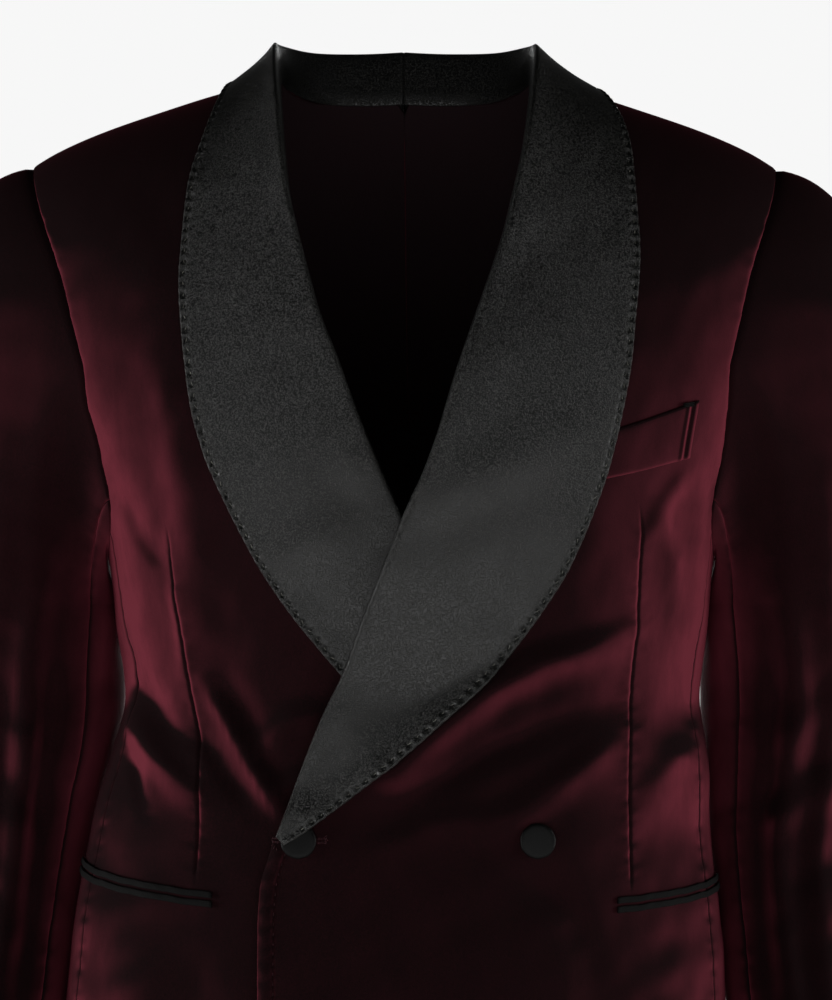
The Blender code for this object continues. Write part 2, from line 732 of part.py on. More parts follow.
def shawl_section(side, place):
    """One section across the shawl, from its lip inside the roll to its outer edge."""
    rows = shawl_rows(side)
    roll_x = read_row(rows, "roll_x", place)
    roll_drop = read_row(rows, "roll_drop", place)
    edge_x = read_row(rows, "edge_x", place)
    edge_drop = read_row(rows, "edge_drop", place)
    stand = read_row(rows, "stand", place)
    base = dropped_point(side, roll_x, roll_drop)
    across = (dropped_point(side, edge_x, edge_drop) - base).normalized()
    normal = (dropped_point(side, roll_x, roll_drop, 0.01) - base).normalized()
    across = (across - normal * across.dot(normal)).normalized()
    rise = (normal + Vector((0.0, 0.0, 1.0)) * max(stand - 0.006, 0.0) / 0.012).normalized()
    lip = VELVET * smooth(place)
    flat = LAID + SATIN + SHOULDER_ROOM * smooth((0.06 - abs(roll_drop)) / 0.05)
    bowing = blend(2.4, 1.15, clamp((stand - 0.0045) / 0.024))
    section = []
    for offset, height in ((-SATIN, -lip), (-SATIN, 0.45 * stand), (-0.8 * SATIN, 0.85 * stand)):
        section.append(base + across * offset + rise * height)
    for share in (0.0, 0.03, 0.09, 0.19, 0.32, 0.46, 0.60, 0.74, 0.87, 1.0):
        x = blend(roll_x, edge_x, share)
        drop = blend(roll_drop, edge_drop, share)
        z = ridge_z(x) - abs(drop)
        out = flat + lapel_ease(side, x, z)
        lift = max(stand - flat, 0.0) * (1.0 - share) ** bowing
        section.append(dropped_point(side, x, drop, out) + rise * lift)
    return section


def add_shawl(side, name):
    """The satin lapel and collar of one side, from its tip to the centre back."""
    last = len(shawl_rows(side)) - 1
    grid = [shawl_section(side, 0.5 * step) for step in range(2 * last + 1)]
    trim(grid, top=SEAM)
    return add_cloth(name, grid, SATIN, (0.012, 0.012, 0.012), 0.45, Vector((0.0, -1.0, 0.3)))


def add_strip(side, name, upper, lower, thickness, colour, columns=14):
    """A strip laid on the cloth between an upper and a lower line of (turn, z) ends."""
    grid = []
    for line in (lower, upper):
        row = []
        for column in range(columns + 1):
            share = column / columns
            turn = blend(line[0][0], line[1][0], share)
            z = blend(line[0][1], line[1][1], share)
            row.append(cloth_point(side, turn, z, LAID + thickness))
        grid.append(row)
    outward = Vector((0.6 * side, -1.0, 0.0))
    return add_cloth(name, grid, thickness, colour, 0.6, outward)


def add_hip_pocket(side, word, inner_x, inner_z, slant):
    """The two jets of a hip pocket, one over the other, round to the side of the body."""
    height = 0.0098
    mouth = 0.0004
    outer_turn = side * math.radians(84.0)
    for name, top, bottom in (("upper", 0.0, 0.5 * (height - mouth)),
                              ("lower", 0.5 * (height + mouth), height)):
        lines = []
        for down in (top, bottom):
            z = inner_z - down
            start = (turn_at(inner_x, z, FRONT), z)
            lines.append((start, (outer_turn, z + slant)))
        add_strip(side, "pocket_jet_" + name + "_" + word, lines[0], lines[1], JET,
                  (0.01, 0.008, 0.009))


def add_breast_welt():
    """The welt of the breast pocket, its inner end under the lapel."""
    inner_top = (0.1140, -0.2150)
    outer_top = (0.1800, -0.1930)
    inner_bottom = (0.1070, -0.2430)
    outer_bottom = (0.1740, -0.2280)
    lines = []
    for start, end in ((inner_top, outer_top), (inner_bottom, outer_bottom)):
        lines.append([(turn_at(x, z, FRONT), z) for x, z in (start, end)])
    add_strip(LEFT, "breast_welt", lines[0], lines[1], WELT, (0.11, 0.02, 0.033), 8)


def add_button(name, x):
    """A covered button: a turned disc on the front that lies on top."""
    profile = [(0.0, 0.0), (0.80, 0.0), (0.97, 0.25), (1.0, 0.55), (0.95, 0.85), (0.80, 1.0)]
    profile.append((0.0, 1.0))
    points = [(radius * BUTTON_RADIUS, 0.0, height * BUTTON_THICK) for radius, height in profile]
    edges = [(index, index + 1) for index in range(len(points) - 1)]
    mesh = bpy.data.meshes.new(name)
    mesh.from_pydata(points, edges, [])
    button = bpy.data.objects.new(name, mesh)
    jacket.objects.link(button)
    mesh.materials.append(paint(name + "_satin", (0.01, 0.01, 0.01), 0.5))
    turning = button.modifiers.new("Turning", "SCREW")
    turning.steps = BUTTON_STEPS
    turning.render_steps = BUTTON_STEPS
    turning.use_merge_vertices = True
    turning.merge_threshold = 0.00001
    turning.use_normal_calculate = True
    turn = turn_at(x, BUTTON_Z, FRONT)
    normal = cloth_normal(LEFT, turn, BUTTON_Z)
    button.rotation_mode = "QUATERNION"
    button.rotation_quaternion = normal.to_track_quat("Z", "Y")
    button.location = cloth_point(LEFT, turn, BUTTON_Z, LAID)
    return button


for old in list(bpy.data.objects):
    bpy.data.objects.remove(old, do_unlink=True)

jacket = bpy.data.collections.new("dinner_jacket")
bpy.context.scene.collection.children.link(jacket)

add_front(LEFT, "front_left")
add_front(RIGHT, "front_right")
for hand, text in ((LEFT, "left"), (RIGHT, "right")):
    add_side(hand, "side_panel_" + text)
    add_back(hand, "back_" + text)
    add_sleeve(hand, "sleeve_top_" + text, SLEEVE_FRONT_STATION, SLEEVE_BACK_STATION)
    add_sleeve(hand, "sleeve_under_" + text, SLEEVE_BACK_STATION, STATIONS + SLEEVE_FRONT_STATION)
    add_shawl(hand, "shawl_" + text)
add_hip_pocket(RIGHT, "right", -0.1155, -0.4915, 0.0140)
add_hip_pocket(LEFT, "left", 0.1280, -0.4955, 0.0080)
add_breast_welt()
add_button("button_fastened", FASTENED_X)
add_button("button_show", SHOW_X)
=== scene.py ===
import math

import bpy
import numpy as np
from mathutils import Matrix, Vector


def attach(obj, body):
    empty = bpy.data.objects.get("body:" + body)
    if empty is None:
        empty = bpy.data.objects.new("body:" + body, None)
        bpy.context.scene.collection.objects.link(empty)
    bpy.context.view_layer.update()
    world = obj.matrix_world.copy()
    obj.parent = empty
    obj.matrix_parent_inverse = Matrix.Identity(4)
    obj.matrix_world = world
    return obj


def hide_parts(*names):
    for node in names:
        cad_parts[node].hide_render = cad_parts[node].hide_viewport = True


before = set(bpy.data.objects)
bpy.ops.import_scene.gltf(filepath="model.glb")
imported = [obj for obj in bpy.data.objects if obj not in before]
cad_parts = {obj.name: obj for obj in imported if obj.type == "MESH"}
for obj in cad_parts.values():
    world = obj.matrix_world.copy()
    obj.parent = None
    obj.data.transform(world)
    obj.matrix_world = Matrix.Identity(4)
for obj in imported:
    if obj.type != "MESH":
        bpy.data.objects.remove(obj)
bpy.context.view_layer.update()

# The back: two halves of burgundy cotton velvet, cut on one worn form and joined by a centre seam.
# They are sewn right side to right side and pressed open, so the seam shows as a fine soft groove.

LEFT = 1
RIGHT = -1
SIDES = ((LEFT, "left"), (RIGHT, "right"))
FRONT = -1
BACK = 1
SEAM = 0.0003
VELVET = 0.0018
HEM_Z = -0.740
UNDERARM_Z = -0.285
ARMHOLE_MID_Z = -0.168
ARMHOLE_HALF = 0.1225
STATIONS = 24
FRONT_SEAM_STATION = 2
SHOULDER_STATION = 12
BACK_SEAM_STATION = 19
NECK_ROOM = 0.0038
NECK_SHIFT = 0.0026
CALM_BY_SEAM = 0.030
UNEVEN = 0.00035
# steps of the mesh beside a seam
FINE_EDGE = np.array([0.0, 0.0007, 0.0015, 0.0027, 0.0045])

# height, centre, half width, depth to the front and back, squareness
BODY = np.array([
    (-.740, -.006, .214, .128, .132, 2.50),
    (-.660, -.005, .212, .127, .132, 2.50),
    (-.580, -.0045, .2085, .124, .128, 2.50),
    (-.510, -.0035, .2025, .119, .115, 2.45),
    (-.468, -.002, .196, .116, .104, 2.40),
    (-.440, .0005, .1925, .114, .097, 2.40),
    (-.411, .004, .187, .113, .091, 2.40),
    (-.378, .006, .181, .112, .088, 2.40),
    (-.333, .0055, .186, .116, .093, 2.45),
    (-.285, .005, .191, .121, .104, 2.50),
    (-.225, .005, .207, .125, .116, 2.50),
    (-.182, .0025, .2257, .126, .121, 2.50),
    (-.115, .0015, .242, .127, .122, 2.50),
    (-.060, .001, .252, .127, .120, 2.50),
    (.030, .000, .256, .127, .120, 2.50),
])
CENTRE, HALF, DEEP_FRONT, DEEP_BACK, SQUARE = 1, 2, 3, 4, 5
RIDGE = np.array([
    (.000, .028), (.040, .0235), (.078, .012), (.117, .002), (.150, -.0085),
    (.190, -.0225), (.218, -.035), (.235, -.0455), (.260, -.065),
])
ARMHOLE = np.array([
    (-.2905, 1.000), (-.2737, .968), (-.2543, .945), (-.2300, .933), (-.1996, .902),
    (-.1680, .870), (-.1360, .8755), (-.1060, .886), (-.0817, .903), (-.0623, .917),
    (-.0455, .927),
])
# height, front seam and back seam of the panel under the arm, as a share of the half width
SIDE_SEAMS = np.array([
    (-.740, .950, .880), (-.500, .955, .890), (-.380, .955, .910),
    (-.2737, .968, .915), (-.1996, .968, .902),
])

# Folds of the worn cloth in millimetres: height, a ridge above zero and a trough below, its widths
# on either side of its line, and the (x, z) points of the line. Each front and back half has its own.
MM = 0.001
FOLDS = {
    (RIGHT, FRONT): [
        (3.4, 16, 12, [(-154, -132), (-144, -181), (-136, -230), (-129, -278),
                       (-128, -339), (-130, -372)]),
        (-2.2, 8, 5, [(-172, -252), (-161, -275.5), (-145, -298)]),
        (-3.6, 9, 7, [(-184, -330), (-165.5, -366.8), (-144, -393), (-124, -405)]),
        (3.8, 7, 9, [(-172, -380), (-157, -405), (-138, -424), (-120, -438)]),
        (-2.6, 5, 4, [(-168.5, -408), (-163.6, -429), (-159, -446)]),
        (4.8, 4.2, 5, [(-120, -364), (-100, -400), (-80.3, -432), (-68, -452)]),
        (-2.8, 8, 6, [(-130, -385), (-110, -416), (-90, -444)]),
        (-2.2, 8, 9, [(-112, -350), (-92, -392), (-74, -428)]),
        (2.8, 9, 10, [(-92, -412), (-68, -388), (-40, -382)]),
        (2, 6, 6, [(-79, -434), (-55, -418)]),
        (1.6, 6, 4, [(-143, -275), (-134.9, -339.5), (-130.5, -375)]),
        (4.2, 20, 22, [(-168, -505), (-160, -600), (-150, -740)]),
        (-3, 16, 18, [(-128, -515), (-122, -620), (-114, -745)]),
        (3, 16, 18, [(-70, -560), (-60, -650), (-50, -745)]),
    ],
    (LEFT, FRONT): [
        (8.4, 9, 11, [(-44, -437), (-5, -417), (24, -390), (53, -367),
                      (79, -352), (106, -345), (137, -332)]),
        (-3.6, 9, 12, [(0, -440), (47, -408), (83, -392), (126, -377)]),
        (4.4, 8, 10, [(48, -453), (85, -432), (105, -417), (120, -404), (134, -396)]),
        (1.8, 8, 9, [(-20, -468), (18, -450), (60, -443)]),
        (2.8, 10, 13, [(140, -442), (161, -423), (178, -400)]),
        (2.2, 5, 7, [(143, -283), (158, -257), (176, -233)]),
        (1.8, 5, 6, [(156, -258), (165, -291), (166, -320)]),
        (2, 7, 8, [(180, -235), (186, -291), (183.5, -345)]),
        (-2.4, 12, 10, [(60, -470), (100, -505), (120, -560)]),
        (4, 20, 22, [(160, -520), (156, -620), (150, -745)]),
        (-3.2, 18, 16, [(110, -530), (108, -640), (104, -745)]),
        (3, 18, 20, [(40, -530), (44, -640), (48, -745)]),
    ],
    (LEFT, BACK): [
        (3.8, 14, 18, [(18, -372), (75, -352), (140, -350)]),
        (-3.2, 12, 14, [(30, -398), (85, -380), (150, -384)]),
        (3, 16, 14, [(60, -425), (115, -412), (170, -420)]),
        (4, 18, 22, [(120, -100), (136, -170), (140, -260)]),
        (-3, 16, 16, [(88, -120), (100, -200), (104, -280)]),
        (3.6, 22, 20, [(60, -500), (66, -620), (70, -745)]),
        (-3.4, 20, 20, [(120, -490), (128, -620), (132, -745)]),
    ],
    (RIGHT, BACK): [
        (3.4, 16, 14, [(-22, -380), (-70, -358), (-150, -362)]),
        (-3, 12, 12, [(-20, -352), (-90, -334), (-150, -330)]),
        (3.2, 14, 18, [(-50, -432), (-110, -408), (-175, -412)]),
        (3.6, 20, 18, [(-124, -95), (-132, -180), (-142, -270)]),
        (-3, 16, 18, [(-92, -130), (-96, -210), (-106, -290)]),
        (3.4, 20, 22, [(-48, -500), (-56, -620), (-62, -745)]),
        (-3.6, 20, 22, [(-110, -480), (-118, -620), (-126, -745)]),
    ],
}
# The front on top lies out over the other one as far as these places
OVERLAP_LIFT = 0.0075
OVERLAP_FULL_X, OVERLAP_END_X = 0.095, 0.180
OVERLAP_TOP_Z, OVERLAP_FULL_Z = -0.080, -0.240


def smooth(value):
    """An eased step from nought to one."""
    value = np.clip(value, 0.0, 1.0)
    return value * value * (3.0 - 2.0 * value)


def unit(vectors):
    """Vectors of length one."""
    return vectors / np.maximum(np.linalg.norm(vectors, axis=-1, keepdims=True), 1e-12)


def waver(across, along, period):
    """An uneven wave between about minus one and one, the same each time."""
    turn = 2.0 * math.pi / period
    wave = np.sin(along * turn + 1.7 * np.sin(across * turn * 0.43 + 0.6))
    wave = wave + 0.7 * np.sin(along * turn * 0.618 + across * turn * 0.37 + 2.1)
    return (wave + 0.5 * np.sin(along * turn * 1.73 - across * turn * 0.71 + 4.0)) / 1.8


def curve(start, leave, end, arrive, share):
    """A smooth way from start to end that leaves and arrives along given slopes."""
    rest = 1.0 - share
    way = start * (1.0 + 2.0 * share) * rest ** 2 + leave * share * rest ** 2
    return way + end * share ** 2 * (3.0 - 2.0 * share) - arrive * share ** 2 * rest


def run_along(points):
    """Distance along each row of points."""
    steps = np.linalg.norm(np.diff(points, axis=-2), axis=-1)
    return np.concatenate([np.zeros_like(steps[..., :1]), np.cumsum(steps, axis=-1)], axis=-1)


def read(table, column, at):
    """One column of a table, on a curve through its rows that never overshoots them."""
    keys, values = table[:, 0], table[:, column]
    at = np.clip(at, keys[0], keys[-1])
    rises = np.diff(values) / np.diff(keys)
    product, total = rises[:-1] * rises[1:], rises[:-1] + rises[1:]
    inside = np.where(product > 0.0, 2.0 * product / np.where(total == 0.0, 1.0, total), 0.0)
    slopes = np.concatenate([rises[:1], inside, rises[-1:]])
    index = np.clip(np.searchsorted(keys, at, side="right") - 1, 0, len(keys) - 2)
    step = keys[index + 1] - keys[index]
    share = (at - keys[index]) / step
    return curve(values[index], slopes[index] * step, values[index + 1], slopes[index + 1] * step, share)


def ridge_z(x):
    """Height of the shoulder line."""
    return read(RIDGE, 1, np.abs(x))


def body_point(turn, z):
    """Points of the worn form; turn is 0 at the front, a quarter circle at the wearer's left."""
    turn, z = np.broadcast_arrays(np.asarray(turn, float), np.asarray(z, float))
    power = 2.0 / read(BODY, SQUARE, z)
    across, along = np.sin(turn), np.cos(turn)
    x = read(BODY, CENTRE, z) + read(BODY, HALF, z) * np.sign(across) * np.abs(across) ** power
    rise = np.clip((z - UNDERARM_Z) / (ridge_z(x) - UNDERARM_Z), 0.0, 1.0)
    front = read(BODY, DEEP_FRONT, z) * (1.0 - rise ** 3) ** 0.55
    back = read(BODY, DEEP_BACK, z) * (1.0 - rise ** 4) ** 0.55
    depth = np.where(along >= 0.0, front, back)
    y = -np.sign(along) * (depth * np.abs(along) ** power + 0.5 * SEAM * rise)
    return np.stack([x, y, z], axis=-1)


def share_turn(share, z):
    """The turn of the form's front at a share of its half width."""
    return np.arcsin(np.clip(share, 0.0, 1.0) ** (read(BODY, SQUARE, z) / 2.0))


def body_normal(turn, z):
    """The directions that the form faces there."""
    step = 0.004
    x = body_point(turn, z)[..., 0]
    reach = np.clip(0.5 * (ridge_z(x) - z), 1e-6, step)
    across = body_point(turn + step, z) - body_point(turn - step, z)
    upward = body_point(turn, z + reach) - body_point(turn, z - reach)
    slope = (ridge_z(x + step) - ridge_z(x - step)) / (2.0 * step)
    top = unit(np.stack([-slope, np.zeros_like(slope), np.ones_like(slope)], axis=-1))
    on_top = (z > ridge_z(x) - 0.0003)[..., None]
    return np.where(on_top, top, unit(np.cross(across, upward)))


def turn_at(x, z, face):
    """The turn of the form's front or back point at x."""
    offset = x - read(BODY, CENTRE, z)
    turn = share_turn(np.abs(offset) / read(BODY, HALF, z), z)
    if face == BACK:
        turn = math.pi - turn
    return np.copysign(turn, offset)


def fold_height(folds, x, z):
    """How far a set of folds stands out at some places."""
    height = np.zeros_like(x)
    for rise, wide_left, wide_right, line in folds:
        line = np.array(line) * MM
        lengths = np.linalg.norm(np.diff(line, axis=0), axis=1)
        total = lengths.sum()
        near = np.full_like(x, 9.0)
        beside = np.zeros_like(x)
        along = np.zeros_like(x)
        done = 0.0
        for start, end, length in zip(line[:-1], line[1:], lengths):
            way = (end - start) / length
            run = (x - start[0]) * way[0] + (z - start[1]) * way[1]
            off = (x - start[0]) * way[1] - (z - start[1]) * way[0]
            held = np.clip(run, 0.0, length)
            far = np.hypot(off, run - held)
            closer = far < near
            near = np.where(closer, far, near)
            beside = np.where(closer, off, beside)
            along = np.where(closer, done + held, along)
            done += length
        wide = np.where(beside < 0.0, wide_left, wide_right) * MM
        share = along / total
        taper = 0.25 + 0.75 * smooth(share / 0.3) * smooth((1.0 - share) / 0.3)
        uneven = 1.0 + 0.18 * waver(x, z, 0.043)
        height += rise * MM * taper * uneven * np.exp(-(near / wide) ** 2)
    return height


def cloth_out(side, turn, z, x):
    """How far the cloth lies out from the form: its folds, its overlap and its small unevenness."""
    front = smooth((1.45 - np.abs(turn)) / 0.25)
    back = smooth((np.abs(turn) - 1.70) / 0.25)
    back = back * smooth(np.abs(x - read(BODY, CENTRE, z)) / CALM_BY_SEAM)
    height = front * fold_height(FOLDS[side, FRONT], x, z) + back * fold_height(FOLDS[side, BACK], x, z)
    if side == LEFT:
        across = smooth((OVERLAP_END_X - x) / (OVERLAP_END_X - OVERLAP_FULL_X))
        down = smooth((OVERLAP_TOP_Z - z) / (OVERLAP_TOP_Z - OVERLAP_FULL_Z))
        height = height + OVERLAP_LIFT * across * down * (np.cos(turn) > 0.0)
    below = smooth((ridge_z(x) - z) / 0.05)
    return height + UNEVEN * below * (waver(x, z, 0.061) + 0.6 * waver(z, x, 0.034))


def cloth_point(side, turn, z, out=0.0):
    """Points of the outer face of the cloth on one side, moved out by a distance."""
    points = body_point(turn, z)
    height = cloth_out(side, turn, z, points[..., 0]) + out
    return points + body_normal(turn, z) * height[..., None]


def armhole_place(station):
    """Turn and height of armhole stations on the wearer's left, from the underarm over the front."""
    angle = 2.0 * math.pi * np.asarray(station, float) / STATIONS
    z = ARMHOLE_MID_Z - ARMHOLE_HALF * np.cos(angle)
    turn = share_turn(read(ARMHOLE, 1, z), z)
    return np.where(np.sin(angle) < -1e-9, math.pi - turn, turn), z


def armhole_point(side, station):
    """Points of the armhole; its crown lies on the shoulder line."""
    turn, z = armhole_place(station)
    points = body_point(side * turn, z)
    crown = smooth(1.0 - np.abs(np.asarray(station, float) - SHOULDER_STATION) / 0.35)
    points[..., 2] += (ridge_z(points[..., 0]) - points[..., 2]) * crown
    points[..., 1] *= 1.0 - crown
    return points


def side_seam_turn(side, z, face):
    """The turn of a side seam at a height."""
    turn = share_turn(read(SIDE_SEAMS, 1 if face == FRONT else 2, z), z)
    return side * (math.pi - turn if face == BACK else turn)


def panel_places(face, across, inner, outer):
    """Turn and height of panel points, a row of them between each inner and outer (x, z)."""
    ends = []
    for end in (inner, outer):
        share = (end[:, 0] - read(BODY, CENTRE, end[:, 1])) / read(BODY, HALF, end[:, 1])
        rise = (end[:, 1] - UNDERARM_Z) / (ridge_z(end[:, 0]) - UNDERARM_Z)
        ends.append((np.arcsin(np.clip(share, -1.0, 1.0))[:, None], rise[:, None], end[:, :1], end[:, 1:]))
    (near, near_rise, near_x, near_z), (far, far_rise, far_x, far_z) = ends
    z = near_z + (far_z - near_z) * across
    x = read(BODY, CENTRE, z) + read(BODY, HALF, z) * np.sin(near + (far - near) * across)
    on_ridge = np.clip(0.5 * (near_rise + far_rise), 0.0, 1.0) ** 4
    level = ridge_z(near_x) + (ridge_z(far_x) - ridge_z(near_x)) * across
    z = np.minimum(z + (ridge_z(x) - level) * on_ridge, ridge_z(x))
    return turn_at(x, z, face), z


def spaced(wide, step):
    """Shares of a row of about this width: fine steps at its ends and even ones between."""
    near = FINE_EDGE / wide
    middle = np.linspace(near[-1], 1.0 - near[-1], int(round(1.0 / step)))
    return np.concatenate([near[:-1], middle, 1.0 - near[-2::-1]])


def lay_panel(side, face, inner, outer, columns):
    """Turn, height and distance along each row of a panel; columns says which distances to use."""
    shares = np.linspace(0.0, 1.0, 81)[None, :].repeat(len(inner), axis=0)
    turn, z = panel_places(face, shares, inner, outer)
    points = body_point(turn, z)
    run = run_along(points)
    places = columns(run, points)
    across = np.array([np.interp(place, length, shares[0]) for place, length in zip(places, run)])
    turn, z = panel_places(face, across, inner, outer)
    return turn, z, places, run[:, -1:]


def seam_relief(distance, along):
    """The soft groove and the small puckers of a seam, from the distance to it."""
    groove = -0.0006 * np.exp(-(distance / 0.0016) ** 2)
    pucker = 0.00022 * np.exp(-(distance / 0.006) ** 2) * waver(distance, along, 0.011)
    return groove + pucker


def linear(code):
    """A colour from its sRGB hex value."""
    parts = [int(code[place:place + 2], 16) / 255.0 for place in (1, 3, 5)]
    return (*[part / 12.92 if part <= 0.04045 else ((part + 0.055) / 1.055) ** 2.4 for part in parts], 1.0)


def feed(owner, node, feeds):
    """Give a node's inputs a value each, or another node's output."""
    for name, value in feeds.items():
        if isinstance(value, bpy.types.NodeSocket):
            owner.node_tree.links.new(value, node.inputs[name])
        else:
            node.inputs[name].default_value = value


def add_node(owner, kind, feeds, **settings):
    """One node with its settings and what its inputs are fed."""
    node = owner.node_tree.nodes.new(kind)
    for name, value in settings.items():
        setattr(node, name, value)
    feed(owner, node, feeds)
    return node


def add_material(name):
    """A material with its shader alone."""
    material = bpy.data.materials.new(name)
    material.use_nodes = True
    return material


def finish_cloth(material, share, deep, lit, height, strength, depth, feeds):
    """Mix two colours by a share, raise the surface by a height in metres, and set the shader."""
    colour = add_node(material, "ShaderNodeMix", {0: share, 6: linear(deep), 7: linear(lit)},
                      data_type="RGBA")
    bump = add_node(material, "ShaderNodeBump", {"Height": height, "Strength": strength, "Distance": depth})
    shader = material.node_tree.nodes["Principled BSDF"]
    feed(material, shader, {"Base Color": colour.outputs[2], "Normal": bump.outputs[0], **feeds})
    return material


def cotton_velvet(name, deep, lit):
    """Cut-pile cotton velvet: a matt dark pile whose fibre tips catch a little light at a glance, and a nap
    that lies a little differently from place to place. Its colour holds a painted highlight where the
    cloth turns away from the eye and painted shading on faces that look up."""
    material = add_material(name)
    place = add_node(material, "ShaderNodeTexCoord", {}).outputs["Object"]
    # the nap lies in brushed patches some 30 mm wide and longer down the cloth
    tall = add_node(material, "ShaderNodeMapping", {"Vector": place, "Scale": (1.0, 1.0, 0.4)})
    patches = add_node(material, "ShaderNodeTexNoise",
                       {"Vector": tall.outputs[0], "Scale": 32.0, "Detail": 5.0, "Roughness": 0.62})
    # the pile's tufts, 0.3 mm apart, are drawn 0.9 mm apart so that they show
    pile = add_node(material, "ShaderNodeTexNoise",
                    {"Vector": place, "Scale": 1100.0, "Detail": 2.0, "Roughness": 0.7})
    # painted shading: the colour goes to the deep one on faces that look up
    facing = add_node(material, "ShaderNodeSeparateXYZ",
                      {0: add_node(material, "ShaderNodeNewGeometry", {}).outputs["Normal"]})
    painted_top_shade = add_node(material, "ShaderNodeMapRange",
                     {"Value": facing.outputs["Z"], "From Min": -0.08, "From Max": 0.24,
                      "To Min": 1.0, "To Max": 0.0}, interpolation_type="SMOOTHSTEP")
    spread = add_node(material, "ShaderNodeMath", {0: patches.outputs["Fac"], 1: 1.95}, operation="MULTIPLY")
    # painted highlight: the colour is deep where the cloth faces the eye and goes to the lit one as it turns
    # away
    glance = add_node(material, "ShaderNodeLayerWeight", {"Blend": 0.5})
    painted_sheen_ramp = add_node(material, "ShaderNodeMapRange",
                      {"Value": glance.outputs["Facing"], "From Min": 0.06, "From Max": 0.56,
                       "To Min": 0.04, "To Max": 1.0})
    painted_sheen = add_node(material, "ShaderNodeMath", {0: spread.outputs[0], 1: painted_sheen_ramp.outputs[0]},
                     operation="MULTIPLY")
    both = add_node(material, "ShaderNodeMath", {0: painted_sheen.outputs[0], 1: painted_top_shade.outputs[0]},
                    operation="MULTIPLY")
    grain = add_node(material, "ShaderNodeMath", {0: pile.outputs["Fac"], 1: 0.16, 2: -0.07},
                     operation="MULTIPLY_ADD")
    total = add_node(material, "ShaderNodeMath", {0: both.outputs[0], 1: grain.outputs[0]},
                     operation="ADD", use_clamp=True)
    return finish_cloth(material, total.outputs[0], deep, lit, pile.outputs["Fac"], 0.35, 0.0004,
                        {"Roughness": 0.9, "Specular IOR Level": 0.05, "Sheen Weight": 0.14,
                         "Sheen Roughness": 0.36, "Sheen Tint": linear("#7c2a3c")})


def cotton_ground():
    """The woven cotton ground at the back of the velvet: dull, flat and dark."""
    material = add_material("velvet_ground_cotton")
    place = add_node(material, "ShaderNodeTexCoord", {}).outputs["Object"]
    # threads 0.4 mm apart, drawn at 1 mm
    weave = add_node(material, "ShaderNodeTexNoise", {"Vector": place, "Scale": 1000.0, "Detail": 1.0})
    return finish_cloth(material, weave.outputs["Fac"], "#14090c", "#231015", weave.outputs["Fac"], 0.3,
                        0.0003, {"Roughness": 0.9, "Specular IOR Level": 0.2})


def add_piece(name, points, faces, materials, nodes=()):
    """A smooth piece that rides on the jacket's one body and stands for some of its nodes."""
    mesh = bpy.data.meshes.new(name)
    mesh.from_pydata(points.tolist(), [], faces)
    mesh.validate()
    for material in materials:
        mesh.materials.append(material)
    mesh.shade_smooth()
    piece = bpy.data.objects.new(name, mesh)
    bpy.context.scene.collection.objects.link(piece)
    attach(piece, "root")
    if nodes:
        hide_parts(*nodes)
    return piece


def grid_normals(points, outward):
    """The directions that a grid faces on its outward side, and 1 or -1 for the way its rows run."""
    normal = unit(np.cross(np.gradient(points, axis=1), np.gradient(points, axis=0)))
    way = 1.0 if np.sum(normal * outward) > 0.0 else -1.0
    return normal * way, way


# the turned edge of a cloth wall, as shares of its thickness
RIM_HEIGHT = 0.66
RIM_INSET = 0.10
RIM_OVERLAP = 0.14


def add_cloth(name, outer, thick, outward, materials, nodes):
    """One cloth wall with soft turned edges: a grid of outer points, thickened inward.

    outward is a vector, or a grid of them, that tells which way the outer face looks."""
    rows, columns = outer.shape[:2]
    normal, way = grid_normals(outer, outward)
    inner = outer - normal * thick
    count = rows * columns
    index = np.arange(count).reshape(rows, columns)
    rim = np.concatenate([index[0, :-1], index[:-1, -1], index[-1, :0:-1], index[:0:-1, 0]])
    flat_outer, flat_inner = outer.reshape(-1, 3).copy(), inner.reshape(-1, 3).copy()
    inward = np.zeros_like(outer)
    inward[0] += outer[1] - outer[0]
    inward[-1] += outer[-2] - outer[-1]
    inward[:, 0] += outer[:, 1] - outer[:, 0]
    inward[:, -1] += outer[:, -2] - outer[:, -1]
    away = -unit(inward.reshape(-1, 3)[rim])
    below = flat_inner[rim] - flat_outer[rim]
    flat_inner[rim] -= away * np.sum(below * away, axis=1, keepdims=True)
    middle = 0.5 * (flat_outer[rim] + flat_inner[rim])
    flat_outer[rim] = middle + (flat_outer[rim] - middle) * RIM_HEIGHT - away * RIM_INSET * thick
    points = np.concatenate([flat_outer, flat_inner, middle + away * RIM_OVERLAP * thick])
    quads = np.stack([index[:-1, :-1], index[:-1, 1:], index[1:, 1:], index[1:, :-1]], axis=-1)
    quads = quads.reshape(-1, 4)
    turned = np.roll(rim, -1)
    ring = 2 * count + np.arange(len(rim))
    next_ring = np.roll(ring, -1)
    upper = np.stack([rim, turned, next_ring, ring], axis=-1)
    lower = np.stack([ring, next_ring, turned + count, rim + count], axis=-1)
    faces = np.concatenate([quads, quads[:, ::-1] + count, upper[:, ::-1], lower[:, ::-1]])
    if way < 0.0:
        faces = faces[:, ::-1]
    piece = add_piece(name, points, faces.tolist(), materials, nodes)
    if len(materials) > 1:
        inside = np.zeros(len(faces), np.int32)
        inside[len(quads):2 * len(quads)] = 1
        piece.data.polygons.foreach_set("material_index", inside)
    return piece


def outward_of(points):
    """The way out from the upright line through the middle of the jacket."""
    way = points.copy()
    way[..., 2] = 0.0
    return way


# deep is the pile's own colour, also used for the painted shading; lit is the colour of the painted
# highlight
velvet = cotton_velvet("burgundy_cotton_velvet", "#0d0405", "#5c222c")
ground = cotton_ground()


def add_velvet(name, points, node, outward=None):
    """A velvet panel that stands for a node."""
    outward = outward_of(points) if outward is None else outward
    return add_cloth(name, points, VELVET, outward, (velvet, ground), [node])


